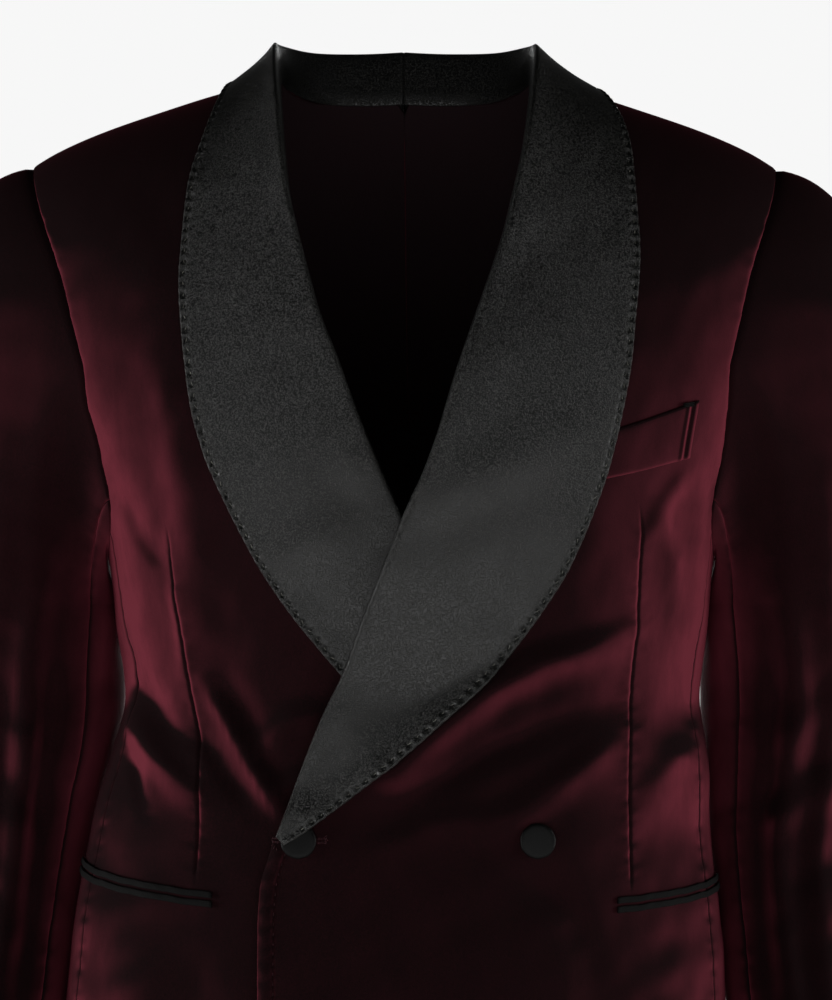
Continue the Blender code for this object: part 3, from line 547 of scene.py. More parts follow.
def back_ends(side):
    """Inner and outer (x, z) of the rows of a back half, from the hem to the shoulder."""
    seam_z = float(armhole_place(BACK_SEAM_STATION)[1])
    below = np.linspace(HEM_Z, seam_z, 130)[:-1]
    centre_below = np.stack([read(BODY, CENTRE, below), below], axis=-1)
    side_below = body_point(side_seam_turn(side, below, BACK), below)[:, (0, 2)]
    above = BACK_SEAM_STATION - SHOULDER_STATION
    up_seam = above - 4
    step = np.linspace(0.0, above, 74)
    edge = armhole_point(side, BACK_SEAM_STATION - step)
    neck_z = float(ridge_z(0.0)) - 0.026 - NECK_ROOM
    z = seam_z + (neck_z - seam_z) * step / up_seam
    centre = np.stack([read(BODY, CENTRE, z), z], axis=-1)
    neck = neck_line(side, np.clip((step - up_seam) / (above - up_seam), 0.0, 1.0))
    inner_above = np.where((step <= up_seam)[:, None], centre, neck)
    return np.concatenate([centre_below, inner_above]), np.concatenate([side_below, edge[:, (0, 2)]])


def neck_line(side, share):
    """The back of the neck hole as (x, z), from the centre back to the shoulder seam."""
    x = {LEFT: [0.0, 0.030, 0.055, 0.073, 0.080], RIGHT: [0.0, 0.030, 0.055, 0.0715, 0.0775]}[side]
    drop = [0.026, 0.024, 0.018, 0.007, 0.0]
    places = np.linspace(0.0, 1.0, 5)
    table = np.array([places, x, drop]).T
    across = read(table, 1, share)
    return np.stack([side * across, ridge_z(across) - read(table, 2, share)], axis=-1)


for side, hand in SIDES:
    inner, outer = back_ends(side)

    def back_columns(run, points):
        """Even columns, finer at the two seams."""
        return run[:, -1:] * spaced(0.18, 0.0185)

    turn, z, places, length = lay_panel(side, BACK, inner, outer, back_columns)
    relief = seam_relief(places, z) * smooth((-0.01 - z) / 0.02) + seam_relief(length - places, z + 0.3)
    points = cloth_point(side, turn, z, relief)
    at_neck = np.abs(inner[:, :1] - read(BODY, CENTRE, inner[:, 1:])) > 0.001
    points[:, 0] += unit(points[:, 1] - points[:, 0]) * NECK_SHIFT * at_neck
    piece = add_velvet("back_velvet_" + hand, points, "back_" + hand)

# The panels under the arms: one plain velvet panel a side between the front and the back, sewn to
# both, its top cut down to the underarm of the sleeve hole.

for side, hand in SIDES:
    across = spaced(0.09, 0.045)[None, :]
    upward = np.linspace(0.0, 1.0, 190)[:, None]
    top_turn, top_z = armhole_place(FRONT_SEAM_STATION - 7.0 * across)
    z = HEM_Z + (top_z - HEM_Z) * upward
    front = side_seam_turn(side, z, FRONT)
    back = side_seam_turn(side, z, BACK)
    turn = front + (back - front) * across
    turn = turn + (side * top_turn - turn) * upward ** 6
    turn[:, 0], turn[:, -1] = front[:, 0], back[:, -1]
    turn[-1] = side * top_turn[0]
    places = run_along(body_point(turn, z))
    relief = seam_relief(places, z) + seam_relief(places[:, -1:] - places, z + 0.3)
    points = cloth_point(side, turn, z, relief)
    piece = add_velvet("side_panel_velvet_" + hand, points, "side_panel_" + hand)

# The fronts: burgundy cotton velvet, the wearer's left one over the right one. Each has one long
# dart from the chest to the pocket, and its free edge is turned in and pricked by hand.

BREAK_Z = -0.4597
ROLL_ROOM = 0.0007
FRONT_EDGE = np.array([(-.740, .0870), (-.512, .0865), (-.487, .0848), (-.474, .0812),
                       (-.4597, .0765)])
DARTS = {
    RIGHT: np.array([(-.483, .126), (-.441, .124), (-.402, .125), (-.370, .129),
                     (-.327, .135), (-.302, .139), (-.278, .142), (-.265, .144)]),
    LEFT: np.array([(-.489, .137), (-.431, .136), (-.373, .137), (-.353, .1385),
                    (-.327, .141), (-.293, .1425), (-.272, .1436), (-.253, .142)]),
}
EDGE_BAND = 0.0095
EDGE_STITCH = 0.0060
# The shawl from its tip over the shoulder to the centre back, in millimetres: where it rolls and
# where its edge lies, as x and the drop below the shoulder line (negative at the back), and its
# standing height
SHAWL = {
    LEFT: np.array([
        (-73.8, 471.2, -69.2, 477.6, 3.6), (-64, 447, -54.5, 472.6, 4.2), (-55.2, 427, -34, 461, 4.5),
        (-45.2, 405.5, -1.6, 438, 4.5), (-32.5, 379, 25.5, 411, 4.5), (-21.6, 349, 50, 382.2, 4.5),
        (-8.2, 315.5, 72.5, 348, 4.5), (4.7, 283.9, 93, 312, 4.5), (14, 263, 104, 286.2, 4.5),
        (22.6, 238.5, 115, 256.5, 4.5), (32.2, 205, 123.2, 230, 4.8), (45.5, 164, 134, 183, 5.2),
        (55.5, 132.5, 140, 139, 6), (62.2, 109, 143.6, 101.5, 8), (68, 83.3, 142.8, 74, 11),
        (73.8, 57, 141.4, 51, 15), (77.5, 32.1, 139.6, 31, 19.5), (79.7, 14.6, 133.5, 13, 22.5),
        (80, 0, 124, 0, 25), (73, -7, 106, -11, 31), (55, -18, 80, -26, 34.5), (30, -24, 45, -38, 36),
        (0, -26, 0, -43, 36.5),
    ]),
    RIGHT: np.array([
        (76.5, 471.5, 74.5, 471.5, 1.8), (67.5, 450, 58.7, 461.5, 1.8), (58.7, 428, 37.6, 447.2, 1.8),
        (47, 403, 10.4, 428, 2), (36, 378, -16.8, 407, 2.6), (24.2, 352, -37.1, 383.8, 3.5),
        (11.2, 322.5, -60, 350.5, 3.5), (1.4, 299, -80.1, 316.5, 3.8), (-10.9, 270.8, -95.8, 285.5, 4.5),
        (-22.8, 241.5, -109.2, 254.8, 4.5), (-30.3, 222, -120.1, 225.4, 4.5),
        (-40.2, 193, -127.1, 196.5, 4.8), (-51.2, 162.5, -132.4, 159, 5.2), (-59, 132, -135.3, 122, 6),
        (-65, 107, -134.5, 96, 8), (-69.8, 84, -132.5, 72, 11), (-72.8, 58, -129.3, 51.5, 15),
        (-75.2, 32, -124, 36.5, 19.5), (-77, 15, -116.5, 15.5, 22.5), (-77.5, 0, -110, 0, 25),
        (-71.5, -7, -100, -11, 31), (-55, -18, -80, -26, 34.5), (-30, -24, -45, -38, 36),
        (0, -26, 0, -43, 36.5),
    ]),
}
ROLL_X, ROLL_DROP, EDGE_X, EDGE_DROP, STAND = 0, 1, 2, 3, 4
SHOULDER_ROW = {LEFT: 18.0, RIGHT: 19.0}


def read_row(side, column, place):
    """One column of a shawl table at places counted in rows, on a smooth curve through them."""
    values = SHAWL[side][:, column] * MM
    index = np.clip(np.floor(place), 0, len(values) - 2).astype(int)
    share = place - index
    before, start = values[np.maximum(index - 1, 0)], values[index]
    end, after = values[index + 1], values[np.minimum(index + 2, len(values) - 1)]
    bend = 2.0 * before - 5.0 * start + 4.0 * end - after
    twist = 3.0 * start - 3.0 * end + after - before
    return start + 0.5 * share * (end - before + share * (bend + share * twist))


def front_ends(side):
    """Inner and outer (x, z) of the rows of a front, from the hem to the shoulder."""
    seam_z = float(armhole_place(FRONT_SEAM_STATION)[1])
    below = np.linspace(HEM_Z, seam_z, 236)[:-1]
    dense = np.linspace(0.0, SHOULDER_ROW[side], 900)
    roll_x = read_row(side, ROLL_X, dense)
    roll_z = ridge_z(roll_x) - read_row(side, ROLL_DROP, dense)
    edge = -side * read(FRONT_EDGE, 1, below)
    inner_x = np.where(below < BREAK_Z, edge, np.interp(below, roll_z, roll_x))
    side_below = body_point(side_seam_turn(side, below, FRONT), below)[:, (0, 2)]
    start = np.interp(seam_z, roll_z, dense)
    above = SHOULDER_STATION - FRONT_SEAM_STATION
    step = np.linspace(0.0, above, 96)
    place = start + (SHOULDER_ROW[side] - start) * step / above
    x = read_row(side, ROLL_X, place)
    z = ridge_z(x) - read_row(side, ROLL_DROP, place)
    hole = armhole_point(side, FRONT_SEAM_STATION + step)
    inner = np.concatenate([np.stack([inner_x, below], axis=-1), np.stack([x, z], axis=-1)])
    return inner, np.concatenate([side_below, hole[:, (0, 2)]])


def stitch_phase(along, step):
    """Distance along a line of stitches to the nearest one."""
    return (along / step - np.round(along / step)) * step


fronts = {}
for side, hand in SIDES:
    inner, outer = front_ends(side)
    dart_place = []

    def front_columns(run, points):
        """Columns that follow the dart, fine at the free edge, at the dart and at the side seam."""
        edge = np.array([0.0, .0006, .0013, .0022, .0034, .0048, .0064, .0078, .0088, .0095, .0102,
                         .0112, .0130])
        beside = np.array([.0003, .0008, .0015, .0024, .0035, .0050, .0070])
        beside = np.concatenate([-beside[::-1], [0.0], beside])
        rows = []
        for length, row in zip(run, points):
            off = side * row[:, 0] - read(DARTS[side], 1, row[:, 2])
            dart = np.interp(0.0, off, length)
            dart_place.append(dart)
            first = np.linspace(edge[-1], dart + beside[0], 36)[1:-1]
            second = np.linspace(dart + beside[-1], length[-1] - FINE_EDGE[-1], 22)[1:-1]
            rows.append(np.concatenate([edge, first, dart + beside, second, length[-1] - FINE_EDGE[::-1]]))
        return np.array(rows)

    turn, z, places, length = lay_panel(side, FRONT, inner, outer, front_columns)
    to_dart = places - np.array(dart_place)[:, None]
    dart_z = DARTS[side][:, 0]
    sewn = smooth((z - dart_z[0] + 0.004) / 0.012) * smooth((dart_z[-1] - z) / 0.030)
    relief = -0.0010 * sewn * np.exp(-(to_dart / 0.0010) ** 2)
    relief += 0.00030 * sewn * np.exp(-(to_dart / 0.006) ** 2) * waver(to_dart, z, 0.012)
    relief += seam_relief(length - places, z)
    free = smooth((BREAK_Z - z) / 0.010)
    beside = np.exp(-((places - EDGE_BAND) / 0.0013) ** 2)
    prick = np.exp(-(stitch_phase(z, EDGE_STITCH) / 0.0016) ** 2)
    relief -= free * beside * (0.0004 + 0.0006 * prick)
    band = np.sin(math.pi * np.clip(places / EDGE_BAND, 0.0, 1.0))
    relief += free * band * (0.0014 + 0.0004 * waver(places, z, 0.011))
    points = cloth_point(side, turn, z, relief)
    rise = np.clip((z[:, :1] - BREAK_Z) / -BREAK_Z, 0.0, 1.0)
    room = np.where(z[:, :1] > BREAK_Z, ROLL_ROOM + (NECK_ROOM - ROLL_ROOM) * rise, 0.0)
    points[:, :1] += unit(points[:, 1:2] - points[:, :1]) * room[..., None]
    fronts[side] = (add_velvet("front_velvet_" + hand, points, "front_" + hand), points, z)

# The hip pockets: two narrow jets of black satin piping, sewn round the cut mouth one over the
# other and pressed to meet. They have no flaps.

LAID = 0.0006
JET = 0.0012
JET_DOME = 0.0004
JET_WAVE = 0.00025


def black_satin(name, rough, gloss, grain_size, bumps, deep, lit):
    """Black satin with its warp floating on the face: smooth, dark, with a soft broad gloss."""
    material = add_material(name)
    place = add_node(material, "ShaderNodeTexCoord", {}).outputs["Object"]
    # the weave's floats, 0.25 mm long, are drawn coarser so that their grain shows
    grain = add_node(material, "ShaderNodeTexNoise",
                     {"Vector": place, "Scale": 1.0 / grain_size, "Detail": 3.0, "Roughness": 0.8})
    contrast = add_node(material, "ShaderNodeMapRange",
                        {"Value": grain.outputs["Fac"], "From Min": 0.48, "From Max": 0.66})
    return finish_cloth(material, contrast.outputs[0], deep, lit, contrast.outputs[0], bumps, 0.0004,
                        {"Roughness": rough, "Specular IOR Level": gloss})


def add_strip(name, side, upper, lower, thick, dome, material, slot, node, waviness, bars=()):
    """A strip of cloth laid on a front between two lines, each from one (turn, z) to another;
    bars are ridges across it as share of its length, height and width."""
    along = spaced(0.09, 0.016)[None, :]
    across = np.array([0.0, 0.06, 0.14, 0.25, 0.38, 0.5, 0.62, 0.75, 0.86, 0.94, 1.0])[:, None]
    lines = []
    for (turn_a, z_a), (turn_b, z_b) in (lower, upper):
        lines.append((turn_a + (turn_b - turn_a) * along, z_a + (z_b - z_a) * along))
    turn = lines[0][0] + (lines[1][0] - lines[0][0]) * across
    z = lines[0][1] + (lines[1][1] - lines[0][1]) * across
    z = z + waviness * waver(along * 0.0, along * 0.09, 0.017) * np.ones_like(across)
    out = LAID + thick + dome * (1.0 - (2.0 * across - 1.0) ** 4) + 0.0 * along
    out = out + 0.7 * waviness * waver(across * 0.01, along * 0.09, 0.013)
    for place, height, wide in bars:
        out = out + height * np.exp(-((along - place) / wide) ** 2)
    points = cloth_point(side, turn, z, out)
    return add_cloth(name, points, thick, outward_of(points), (material,), [node])


piping = black_satin("pocket_piping_satin", 0.75, 0.08, 0.0009, 0.3, "#030303", "#0a0808")
jets = {LEFT: [], RIGHT: []}
for side, hand, inner_x, inner_z, slant in ((RIGHT, "right", -0.1155, -0.4915, 0.0140),
                                            (LEFT, "left", 0.1280, -0.4955, 0.0080)):
    height, mouth = 0.0098, 0.0013
    for word, top, bottom in (("upper", 0.0, 0.5 * (height - mouth)),
                              ("lower", 0.5 * (height + mouth), height)):
        lines = []
        for down in (top, bottom):
            z = inner_z - down
            start = (float(turn_at(inner_x, z, FRONT)), z)
            lines.append((start, (side * math.radians(84.0), z + slant)))
        place = "%s_%s" % (word, hand)
        jets[side].append(add_strip("pocket_piping_" + place, side, *lines, JET, JET_DOME, piping,
                                    "pocket_jet", "pocket_jet_" + place, JET_WAVE))

# The breast pocket's welt: a folded strip of the same velvet, slanted up to the armhole, its lower
# edge sewn in and its outer end pricked down.

WELT = 0.0012
lines = []
for start, end in (((0.1140, -0.2150), (0.1800, -0.1930)), ((0.1070, -0.2430), (0.1740, -0.2280))):
    lines.append([(float(turn_at(x, z, FRONT)), z) for x, z in (start, end)])
# the outer end shows two ridges and the groove between them, where it is stitched down
END_BARS = ((0.885, 0.0008, 0.016), (0.925, -0.0009, 0.014), (0.962, 0.0008, 0.014))
welt = add_strip("breast_welt_velvet", LEFT, *lines, WELT, 0.0003, velvet, "velvet", "breast_welt",
                 0.0, END_BARS)

# The shawl: one unbroken lapel and collar a side, black satin over a canvas, joined at the centre
# back. It rolls over a soft fold, and its outer edge is pricked by hand every 7 mm.

SATIN = 0.0018
SHOULDER_ROOM = 0.0020
FASTENED_X = -0.0618
BUTTON_Z = -0.4602
BUTTON_THICK = 0.0034
PRICK_STEP = 0.0070
PRICK_IN = 0.0028
PRICK_DEPTH = 0.0026
THREAD = 0.0005
SOFTENING_ROUNDS = 140


def add_threads(name, starts, ends, thick, material):
    """Short threads in one piece, each a fine spindle from one point to another."""
    starts, ends = np.array(starts), np.array(ends)
    way = unit(ends - starts)
    first = unit(np.cross(way, np.array([0.13, 0.21, 0.97])))
    second = np.cross(way, first)
    angle = 2.0 * math.pi * np.arange(6) / 6.0
    round_way = np.cos(angle)[:, None] * first[:, None] + np.sin(angle)[:, None] * second[:, None]
    rings = []
    for share, wide in ((0.0, 0.35), (0.2, 0.9), (0.5, 1.0), (0.8, 0.9), (1.0, 0.35)):
        rings.append((starts + (ends - starts) * share)[:, None] + 0.5 * thick * wide * round_way)
    points = np.stack(rings, axis=1)
    faces = []
    for base in range(0, len(starts) * 30, 30):
        faces.append([base + step for step in range(5, -1, -1)])
        faces.append([base + 24 + step for step in range(6)])
        for ring in range(base, base + 24, 6):
            faces += [[ring + step, ring + (step + 1) % 6, ring + 6 + (step + 1) % 6, ring + 6 + step]
                      for step in range(6)]
    return add_piece(name, points.reshape(-1, 3), faces, (material,))


def dropped_point(side, x, drop, out=0.0):
    """Points below the shoulder line by a drop, on the back where the drop is negative."""
    z = ridge_z(x) - np.abs(drop)
    turn = np.where(drop < 0.0, turn_at(x, z, BACK), turn_at(x, z, FRONT))
    return cloth_point(side, turn, z, out)


def lapel_ease(side, x, z):
    """Room under the lapel on top, for the breast welt and the fastened button."""
    if side == RIGHT:
        return np.zeros_like(x)
    over_welt = smooth((z + 0.330) / 0.060) * smooth((-0.110 - z) / 0.060)
    away = np.hypot(x - FASTENED_X, z - BUTTON_Z)
    return (WELT + SEAM) * over_welt + (BUTTON_THICK + LAID) * smooth((0.034 - away) / 0.021)


def shawl_grid(side):
    """Points across and along a shawl from its tip to the centre back, and where its edge runs."""
    last = len(SHAWL[side]) - 1
    dense = np.linspace(0.0, last, 700)
    edge = dropped_point(side, read_row(side, EDGE_X, dense), read_row(side, EDGE_DROP, dense))
    run = run_along(edge)
    along = np.linspace(0.0, run[-1], int(run[-1] / 0.00175))
    place = np.interp(along, run, dense)
    roll_x, roll_drop, edge_x, edge_drop, stand = [read_row(side, column, place) for column in range(5)]
    base = dropped_point(side, roll_x, roll_drop)
    across = unit(dropped_point(side, edge_x, edge_drop) - base)
    width = np.linalg.norm(dropped_point(side, edge_x, edge_drop) - base, axis=1)
    normal = unit(dropped_point(side, roll_x, roll_drop, 0.01) - base)
    across = unit(across - normal * np.sum(across * normal, axis=1, keepdims=True))
    upright = np.array([0.0, 0.0, 1.0])
    rise = unit(normal + upright * (np.maximum(stand - 0.006, 0.0) / 0.012)[:, None])
    lip = VELVET * smooth(place)
    flat = LAID + SATIN + SHOULDER_ROOM * smooth((0.06 - np.abs(roll_drop)) / 0.05)
    bowing = 2.4 + (1.15 - 2.4) * np.clip((stand - 0.0045) / 0.024, 0.0, 1.0)
    columns = []
    for offset, height in ((-SATIN, -lip), (-SATIN, 0.2 * stand), (-SATIN, 0.45 * stand),
                           (-0.93 * SATIN, 0.7 * stand), (-0.7 * SATIN, 0.9 * stand)):
        columns.append(base + across * offset + rise * height[:, None])
    near_edge = np.array([0.0100, 0.0078, 0.0062, 0.0050, 0.0042, 0.0036, 0.0032, 0.0028, 0.0024, 0.0019,
                          0.0013, 0.0006, 0.0])
    scale = np.minimum(1.0, 0.7 * width / near_edge[0])
    inset = near_edge[None, :] * scale[:, None] / width[:, None]
    main = np.linspace(0.0, 1.0, 30)[:-1][None, :] ** 1.25
    shares = np.concatenate([main * (1.0 - inset[:, :1]), 1.0 - inset], axis=1)
    prick = smooth((width - 0.012) / 0.006)[:, None] * np.exp(
        -(stitch_phase(along, PRICK_STEP)[:, None] / 0.0012) ** 2)
    x = roll_x[:, None] + (edge_x - roll_x)[:, None] * shares
    drop = roll_drop[:, None] + (edge_drop - roll_drop)[:, None] * shares
    z = ridge_z(x) - np.abs(drop)
    from_edge = (1.0 - shares) * width[:, None]
    out = flat[:, None] + lapel_ease(side, x, z)
    out = out + 0.0007 * smooth(from_edge / 0.02) * waver(x, z, 0.083) * smooth(shares / 0.2)
    prick = prick * (0.85 + 0.15 * np.sin(along / PRICK_STEP * 2.1))[:, None]
    out = out - PRICK_DEPTH * prick * np.exp(-((from_edge - PRICK_IN) / 0.0013) ** 2)
    out = out + 0.0005 * smooth((0.0042 - from_edge) / 0.002) * (1.0 - 2.6 * prick)
    points = dropped_point(side, x, drop, out)
    lift = np.maximum(stand - flat, 0.0)[:, None] * (1.0 - shares) ** bowing[:, None]
    points = points + rise[:, None, :] * lift[..., None]
    grid = np.concatenate([np.stack(columns, axis=1), points], axis=1)
    for _ in range(3):
        grid[:, 1:9] = 0.25 * grid[:, :8] + 0.5 * grid[:, 1:9] + 0.25 * grid[:, 2:10]
    # the fold turns softly round the neck
    soft = (smooth((stand - 0.012) / 0.010) * smooth((len(along) - 2.0 - np.arange(len(along))) / 10.0))
    soft = soft[:, None, None] * smooth(np.arange(grid.shape[1], 0, -1)[None, :, None] / 22.0 - 0.5)
    for _ in range(SOFTENING_ROUNDS):
        grid[1:-1] += 0.5 * soft[1:-1] * (0.5 * (grid[:-2] + grid[2:]) - grid[1:-1])
    return grid, along


satin = black_satin("black_duchess_satin", 0.34, 0.29, 0.0010, 0.60, "#010101", "#2d2d2a")
# the black silk thread is coloured grey: a painted glint, so that the pricking shows as light ticks
silk = black_satin("black_silk_thread_painted_glint", 0.5, 0.3, 0.0010, 0.2, "#4a4a46", "#8c8c83")
for side, hand in SIDES:
    points, along = shawl_grid(side)
    piece = add_cloth("shawl_satin_" + hand, points, SATIN, np.array([0.0, -1.0, 0.3]), (satin,),
                      ["shawl_" + hand])
    marks = np.arange(0.014, along[-1] - 0.004, PRICK_STEP)
    rows = np.argmin(np.abs(along - marks[:, None]), axis=1)
    seats = points[rows, -6]
    run = unit(points[rows + 1, -6] - points[rows - 1, -6])
    up = unit(np.cross(run, points[rows, -3] - points[rows, -9]))
    facing = unit(outward_of(seats)) + np.array([0.0, 0.0, 1.2])
    up *= np.sign(np.sum(up * facing, axis=1, keepdims=True))
    lean = 0.0006 * np.sin(np.arange(len(rows)) * 2.3)[:, None] * unit(np.cross(run, up))
    pricking = add_threads("lapel_pricking_" + hand, seats - run * 0.0014 - lean + up * 0.0012,
                           seats + run * 0.0014 + lean + up * 0.0012, THREAD, silk)

# The sleeves: two-piece sleeves of the same velvet, the top half eased over the sleeve head and
# sewn to the under half along the front and back of the arm. The cuffs are plain.

CUFF_Z = -0.675
SLEEVE_TOP_Z = -0.320
# height, inner and outer reach, half depth, how far behind the middle, and turn of the seams
SLEEVE = np.array([
    (-.675, .2190, .3080, .0480, -.016, -2.0), (-.600, .2120, .3060, .0500, .004, -2.0),
    (-.500, .2005, .3010, .0530, .026, -1.0), (-.440, .1910, .2980, .0550, .033, 3.0),
    (-.380, .1835, .2980, .0580, .033, 6.0), (-.320, .1860, .3020, .0620, .022, -3.0),
])
ARC = 0.013
TUCK_IN = 0.0014
TUCK_UNDER = 0.0009
# Sleeve folds lie on a chart of the distance round the arm, from its inner side forward, and
# height, in millimetres as the others
SLEEVE_FOLDS = {
    LEFT: [
        (2, 10, 12, [(50, -470), (85, -440), (125, -432)]),
        (-1.8, 9, 11, [(45, -450), (80, -418), (118, -405)]),
        (1.8, 10, 10, [(40, -425), (78, -392), (110, -372)]),
        (-1.6, 10, 10, [(60, -500), (100, -482), (140, -480)]),
        (2.6, 6, 8, [(72, -290), (74, -380), (66, -470), (70, -560), (66, -660)]),
        (-2, 5, 6, [(58, -320), (60, -430), (54, -540), (56, -640)]),
        (2.2, 6, 7, [(94, -240), (98, -360), (92, -470), (96, -600)]),
        (-2.2, 7, 7, [(84, -330), (86, -420), (80, -530), (84, -640)]),
        (3, 10, 12, [(110, -300), (118, -360), (122, -420)]),
        (-2.6, 10, 10, [(115, -500), (122, -570), (130, -640)]),
        (2.6, 12, 12, [(200, -350), (210, -450), (215, -560)]),
        (-2.6, 10, 10, [(235, -420), (215, -440), (190, -446)]),
        (3, 10, 10, [(130, -180), (140, -240), (150, -310)]),
    ],
    RIGHT: [
        (2.1, 11, 12, [(48, -480), (82, -455), (128, -452)]),
        (-1.8, 10, 10, [(44, -458), (78, -430), (120, -424)]),
        (1.8, 9, 11, [(42, -432), (75, -402), (112, -390)]),
        (-1.6, 10, 11, [(55, -508), (98, -492), (140, -488)]),
        (2.6, 7, 7, [(70, -280), (76, -360), (70, -450), (72, -560), (68, -650)]),
        (-2.2, 5, 6, [(58, -300), (62, -410), (56, -520), (58, -640)]),
        (2.4, 6, 8, [(92, -220), (96, -340), (94, -450), (92, -590)]),
        (-2, 7, 6, [(83, -340), (85, -430), (82, -540), (84, -650)]),
        (3, 11, 10, [(108, -290), (114, -350), (120, -410)]),
        (-2.8, 10, 12, [(108, -520), (118, -590), (124, -650)]),
        (2.8, 12, 12, [(196, -360), (206, -460), (210, -570)]),
        (-2.6, 10, 10, [(232, -430), (212, -452), (186, -458)]),
        (3.2, 10, 10, [(126, -170), (138, -235), (148, -300)]),
    ],
}


def sleeve_ring(side, station, z):
    """Points of the sleeve's tube; station 0 faces the body, then forward, out and back."""
    near, far = read(SLEEVE, 1, z), read(SLEEVE, 2, z)
    angle = 2.0 * math.pi * station / STATIONS + np.radians(read(SLEEVE, 5, z))
    x = read(BODY, CENTRE, z) + side * (near + 0.5 * (far - near) * (1.0 - np.cos(angle)))
    y = read(SLEEVE, 4, z) - read(SLEEVE, 3, z) * np.sin(angle)
    return np.stack([x, y, z + 0.0 * x], axis=-1)


def sleeve_point(side, station, up):
    """Points of a sleeve: up runs from the cuff (0) by the top of its tube (1) to the armhole (2)."""
    station, up = np.broadcast_arrays(station, up)
    tube = sleeve_ring(side, station, CUFF_Z + (SLEEVE_TOP_Z - CUFF_Z) * np.minimum(up, 1.0))
    share = (2.0 - np.maximum(up, 1.0))[..., None]
    angle = 2.0 * math.pi * station / STATIONS
    way = unit(np.stack([side + 0.0 * angle, 0.24 * np.sin(angle), -0.12 + 0.0 * angle], axis=-1))
    start = armhole_point(side, station)
    top = np.full_like(angle, SLEEVE_TOP_Z)
    end = sleeve_ring(side, station, top)
    down = unit(sleeve_ring(side, station, top - 0.02) - end)
    under = (((1.0 + np.cos(angle)) / 2.0) ** 2)[..., None]
    pull = np.linalg.norm(end - start, axis=-1, keepdims=True) * (0.95 + (0.22 - 0.95) * under)
    head = curve(start, way * pull, end, down * pull, share)
    return np.where((up <= 1.0)[..., None], tube, head)


for side, hand in SIDES:
    for word, first, last in (("top", 3.0, 18.0), ("under", 18.0, 27.0)):
        around = ARC * (last - first)
        share = spaced(around, 0.0035 / around)
        station = (first + (last - first) * share)[None, :]
        up = np.concatenate([np.linspace(0.0, 1.0, 120)[:-1], np.linspace(1.0, 2.0, 56)])[:, None]
        flat = sleeve_point(side, station, up)
        z = flat[..., 2]
        chart = (station % STATIONS) * ARC + 0.0 * up
        held = np.clip(z, CUFF_Z, SLEEVE_TOP_Z)
        reach = 0.5 * (read(SLEEVE, 1, held) + read(SLEEVE, 2, held))
        middle = np.stack([read(BODY, CENTRE, held) + side * reach, read(SLEEVE, 4, held), z], axis=-1)
        outward = flat - middle
        normal = grid_normals(flat, outward)[0]
        inner_side = smooth((np.cos(2.0 * math.pi * station / STATIONS) - 0.2) / 0.6)
        out = fold_height(SLEEVE_FOLDS[side], chart, z) * (1.0 - inner_side) * smooth((2.0 - up) / 0.25)
        out += 0.0004 * waver(chart, z, 0.047) * smooth((2.0 - up) / 0.2)
        start = (share * around)[None, :] + 0.0 * up
        out += seam_relief(start, z) + seam_relief(start[:, -1:] - start, z + 0.2)
        points = flat + normal * out[..., None]
        # the seam allowance is turned in under the edge of the sleeve hole
        points[-1] += TUCK_IN * unit(points[-1] - points[-2]) - TUCK_UNDER * normal[-1]
        piece = add_velvet("sleeve_%s_velvet_%s" % (word, hand), points, "sleeve_%s_%s" % (word, hand),
                           outward)

# The buttons: a metal mould covered in the same black satin, drawn tight over its rim and sewn
# through the front on top. The one at the front's edge fastens; the other is for show.

BUTTON_RADIUS = 0.0108


def add_button(name, node, x):
    """A covered button turned from its outline, its satin pulled a little uneven over the rim."""
    outline = np.array([(0.0, 0.02), (0.55, 0.02), (0.82, 0.05), (0.93, 0.18), (0.985, 0.38), (1.0, 0.55),
                        (0.985, 0.70), (0.95, 0.82), (0.90, 0.90), (0.82, 0.955), (0.68, 0.985),
                        (0.50, 1.0), (0.30, 1.01), (0.12, 1.015), (0.0, 1.015)])
    steps = 72
    angle = np.linspace(0.0, 2.0 * math.pi, steps, endpoint=False)
    ring = outline[1:-1]
    pull = 1.0 + 0.006 * np.sin(angle * 11.0) + 0.004 * np.sin(angle * 7.0 + 1.3)
    radius = ring[:, :1] * BUTTON_RADIUS * (1.0 + (pull[None, :] - 1.0) * smooth((ring[:, :1] - 0.6) / 0.3))
    points = np.stack([radius * np.cos(angle), radius * np.sin(angle),
                       ring[:, 1:] * BUTTON_THICK + 0.0 * radius], axis=-1).reshape(-1, 3)
    points = np.concatenate([points, [(0.0, 0.0, outline[0, 1] * BUTTON_THICK),
                                      (0.0, 0.0, outline[-1, 1] * BUTTON_THICK)]])
    last = (len(ring) - 1) * steps
    around = [(step, (step + 1) % steps) for step in range(steps)]
    faces = [(row + step, row + after, row + steps + after, row + steps + step)
             for row in range(0, last, steps) for step, after in around]
    for step, after in around:
        faces += [(len(points) - 2, after, step), (len(points) - 1, last + step, last + after)]
    button = add_piece(name, points, faces, (button_satin,), [node])
    turn = float(turn_at(x, BUTTON_Z, FRONT))
    seat = cloth_point(LEFT, turn, BUTTON_Z, LAID)
    over = cloth_point(LEFT, turn + 0.02, BUTTON_Z) - cloth_point(LEFT, turn - 0.02, BUTTON_Z)
    upward = cloth_point(LEFT, turn, BUTTON_Z + 0.004) - cloth_point(LEFT, turn, BUTTON_Z - 0.004)
    button.rotation_mode = "QUATERNION"
    button.rotation_quaternion = Vector(np.cross(over, upward)).to_track_quat("Z", "Y")
    button.location = seat
    return button


button_satin = black_satin("button_cover_satin", 0.45, 0.09, 0.0008, 0.2, "#030303", "#0a0a0a")
fastened = add_button("button_fastened_satin", "button_fastened", FASTENED_X)
show = add_button("button_show_satin", "button_show", 0.080)

# The thread on the fronts: a worked buttonhole with frayed ends and the pricking of the free edges,
# in burgundy silk, and the black tack at the end of the breast welt.

burgundy_silk = black_satin("burgundy_silk_thread", 0.6, 0.2, 0.0010, 0.2, "#240c11", "#4e222a")


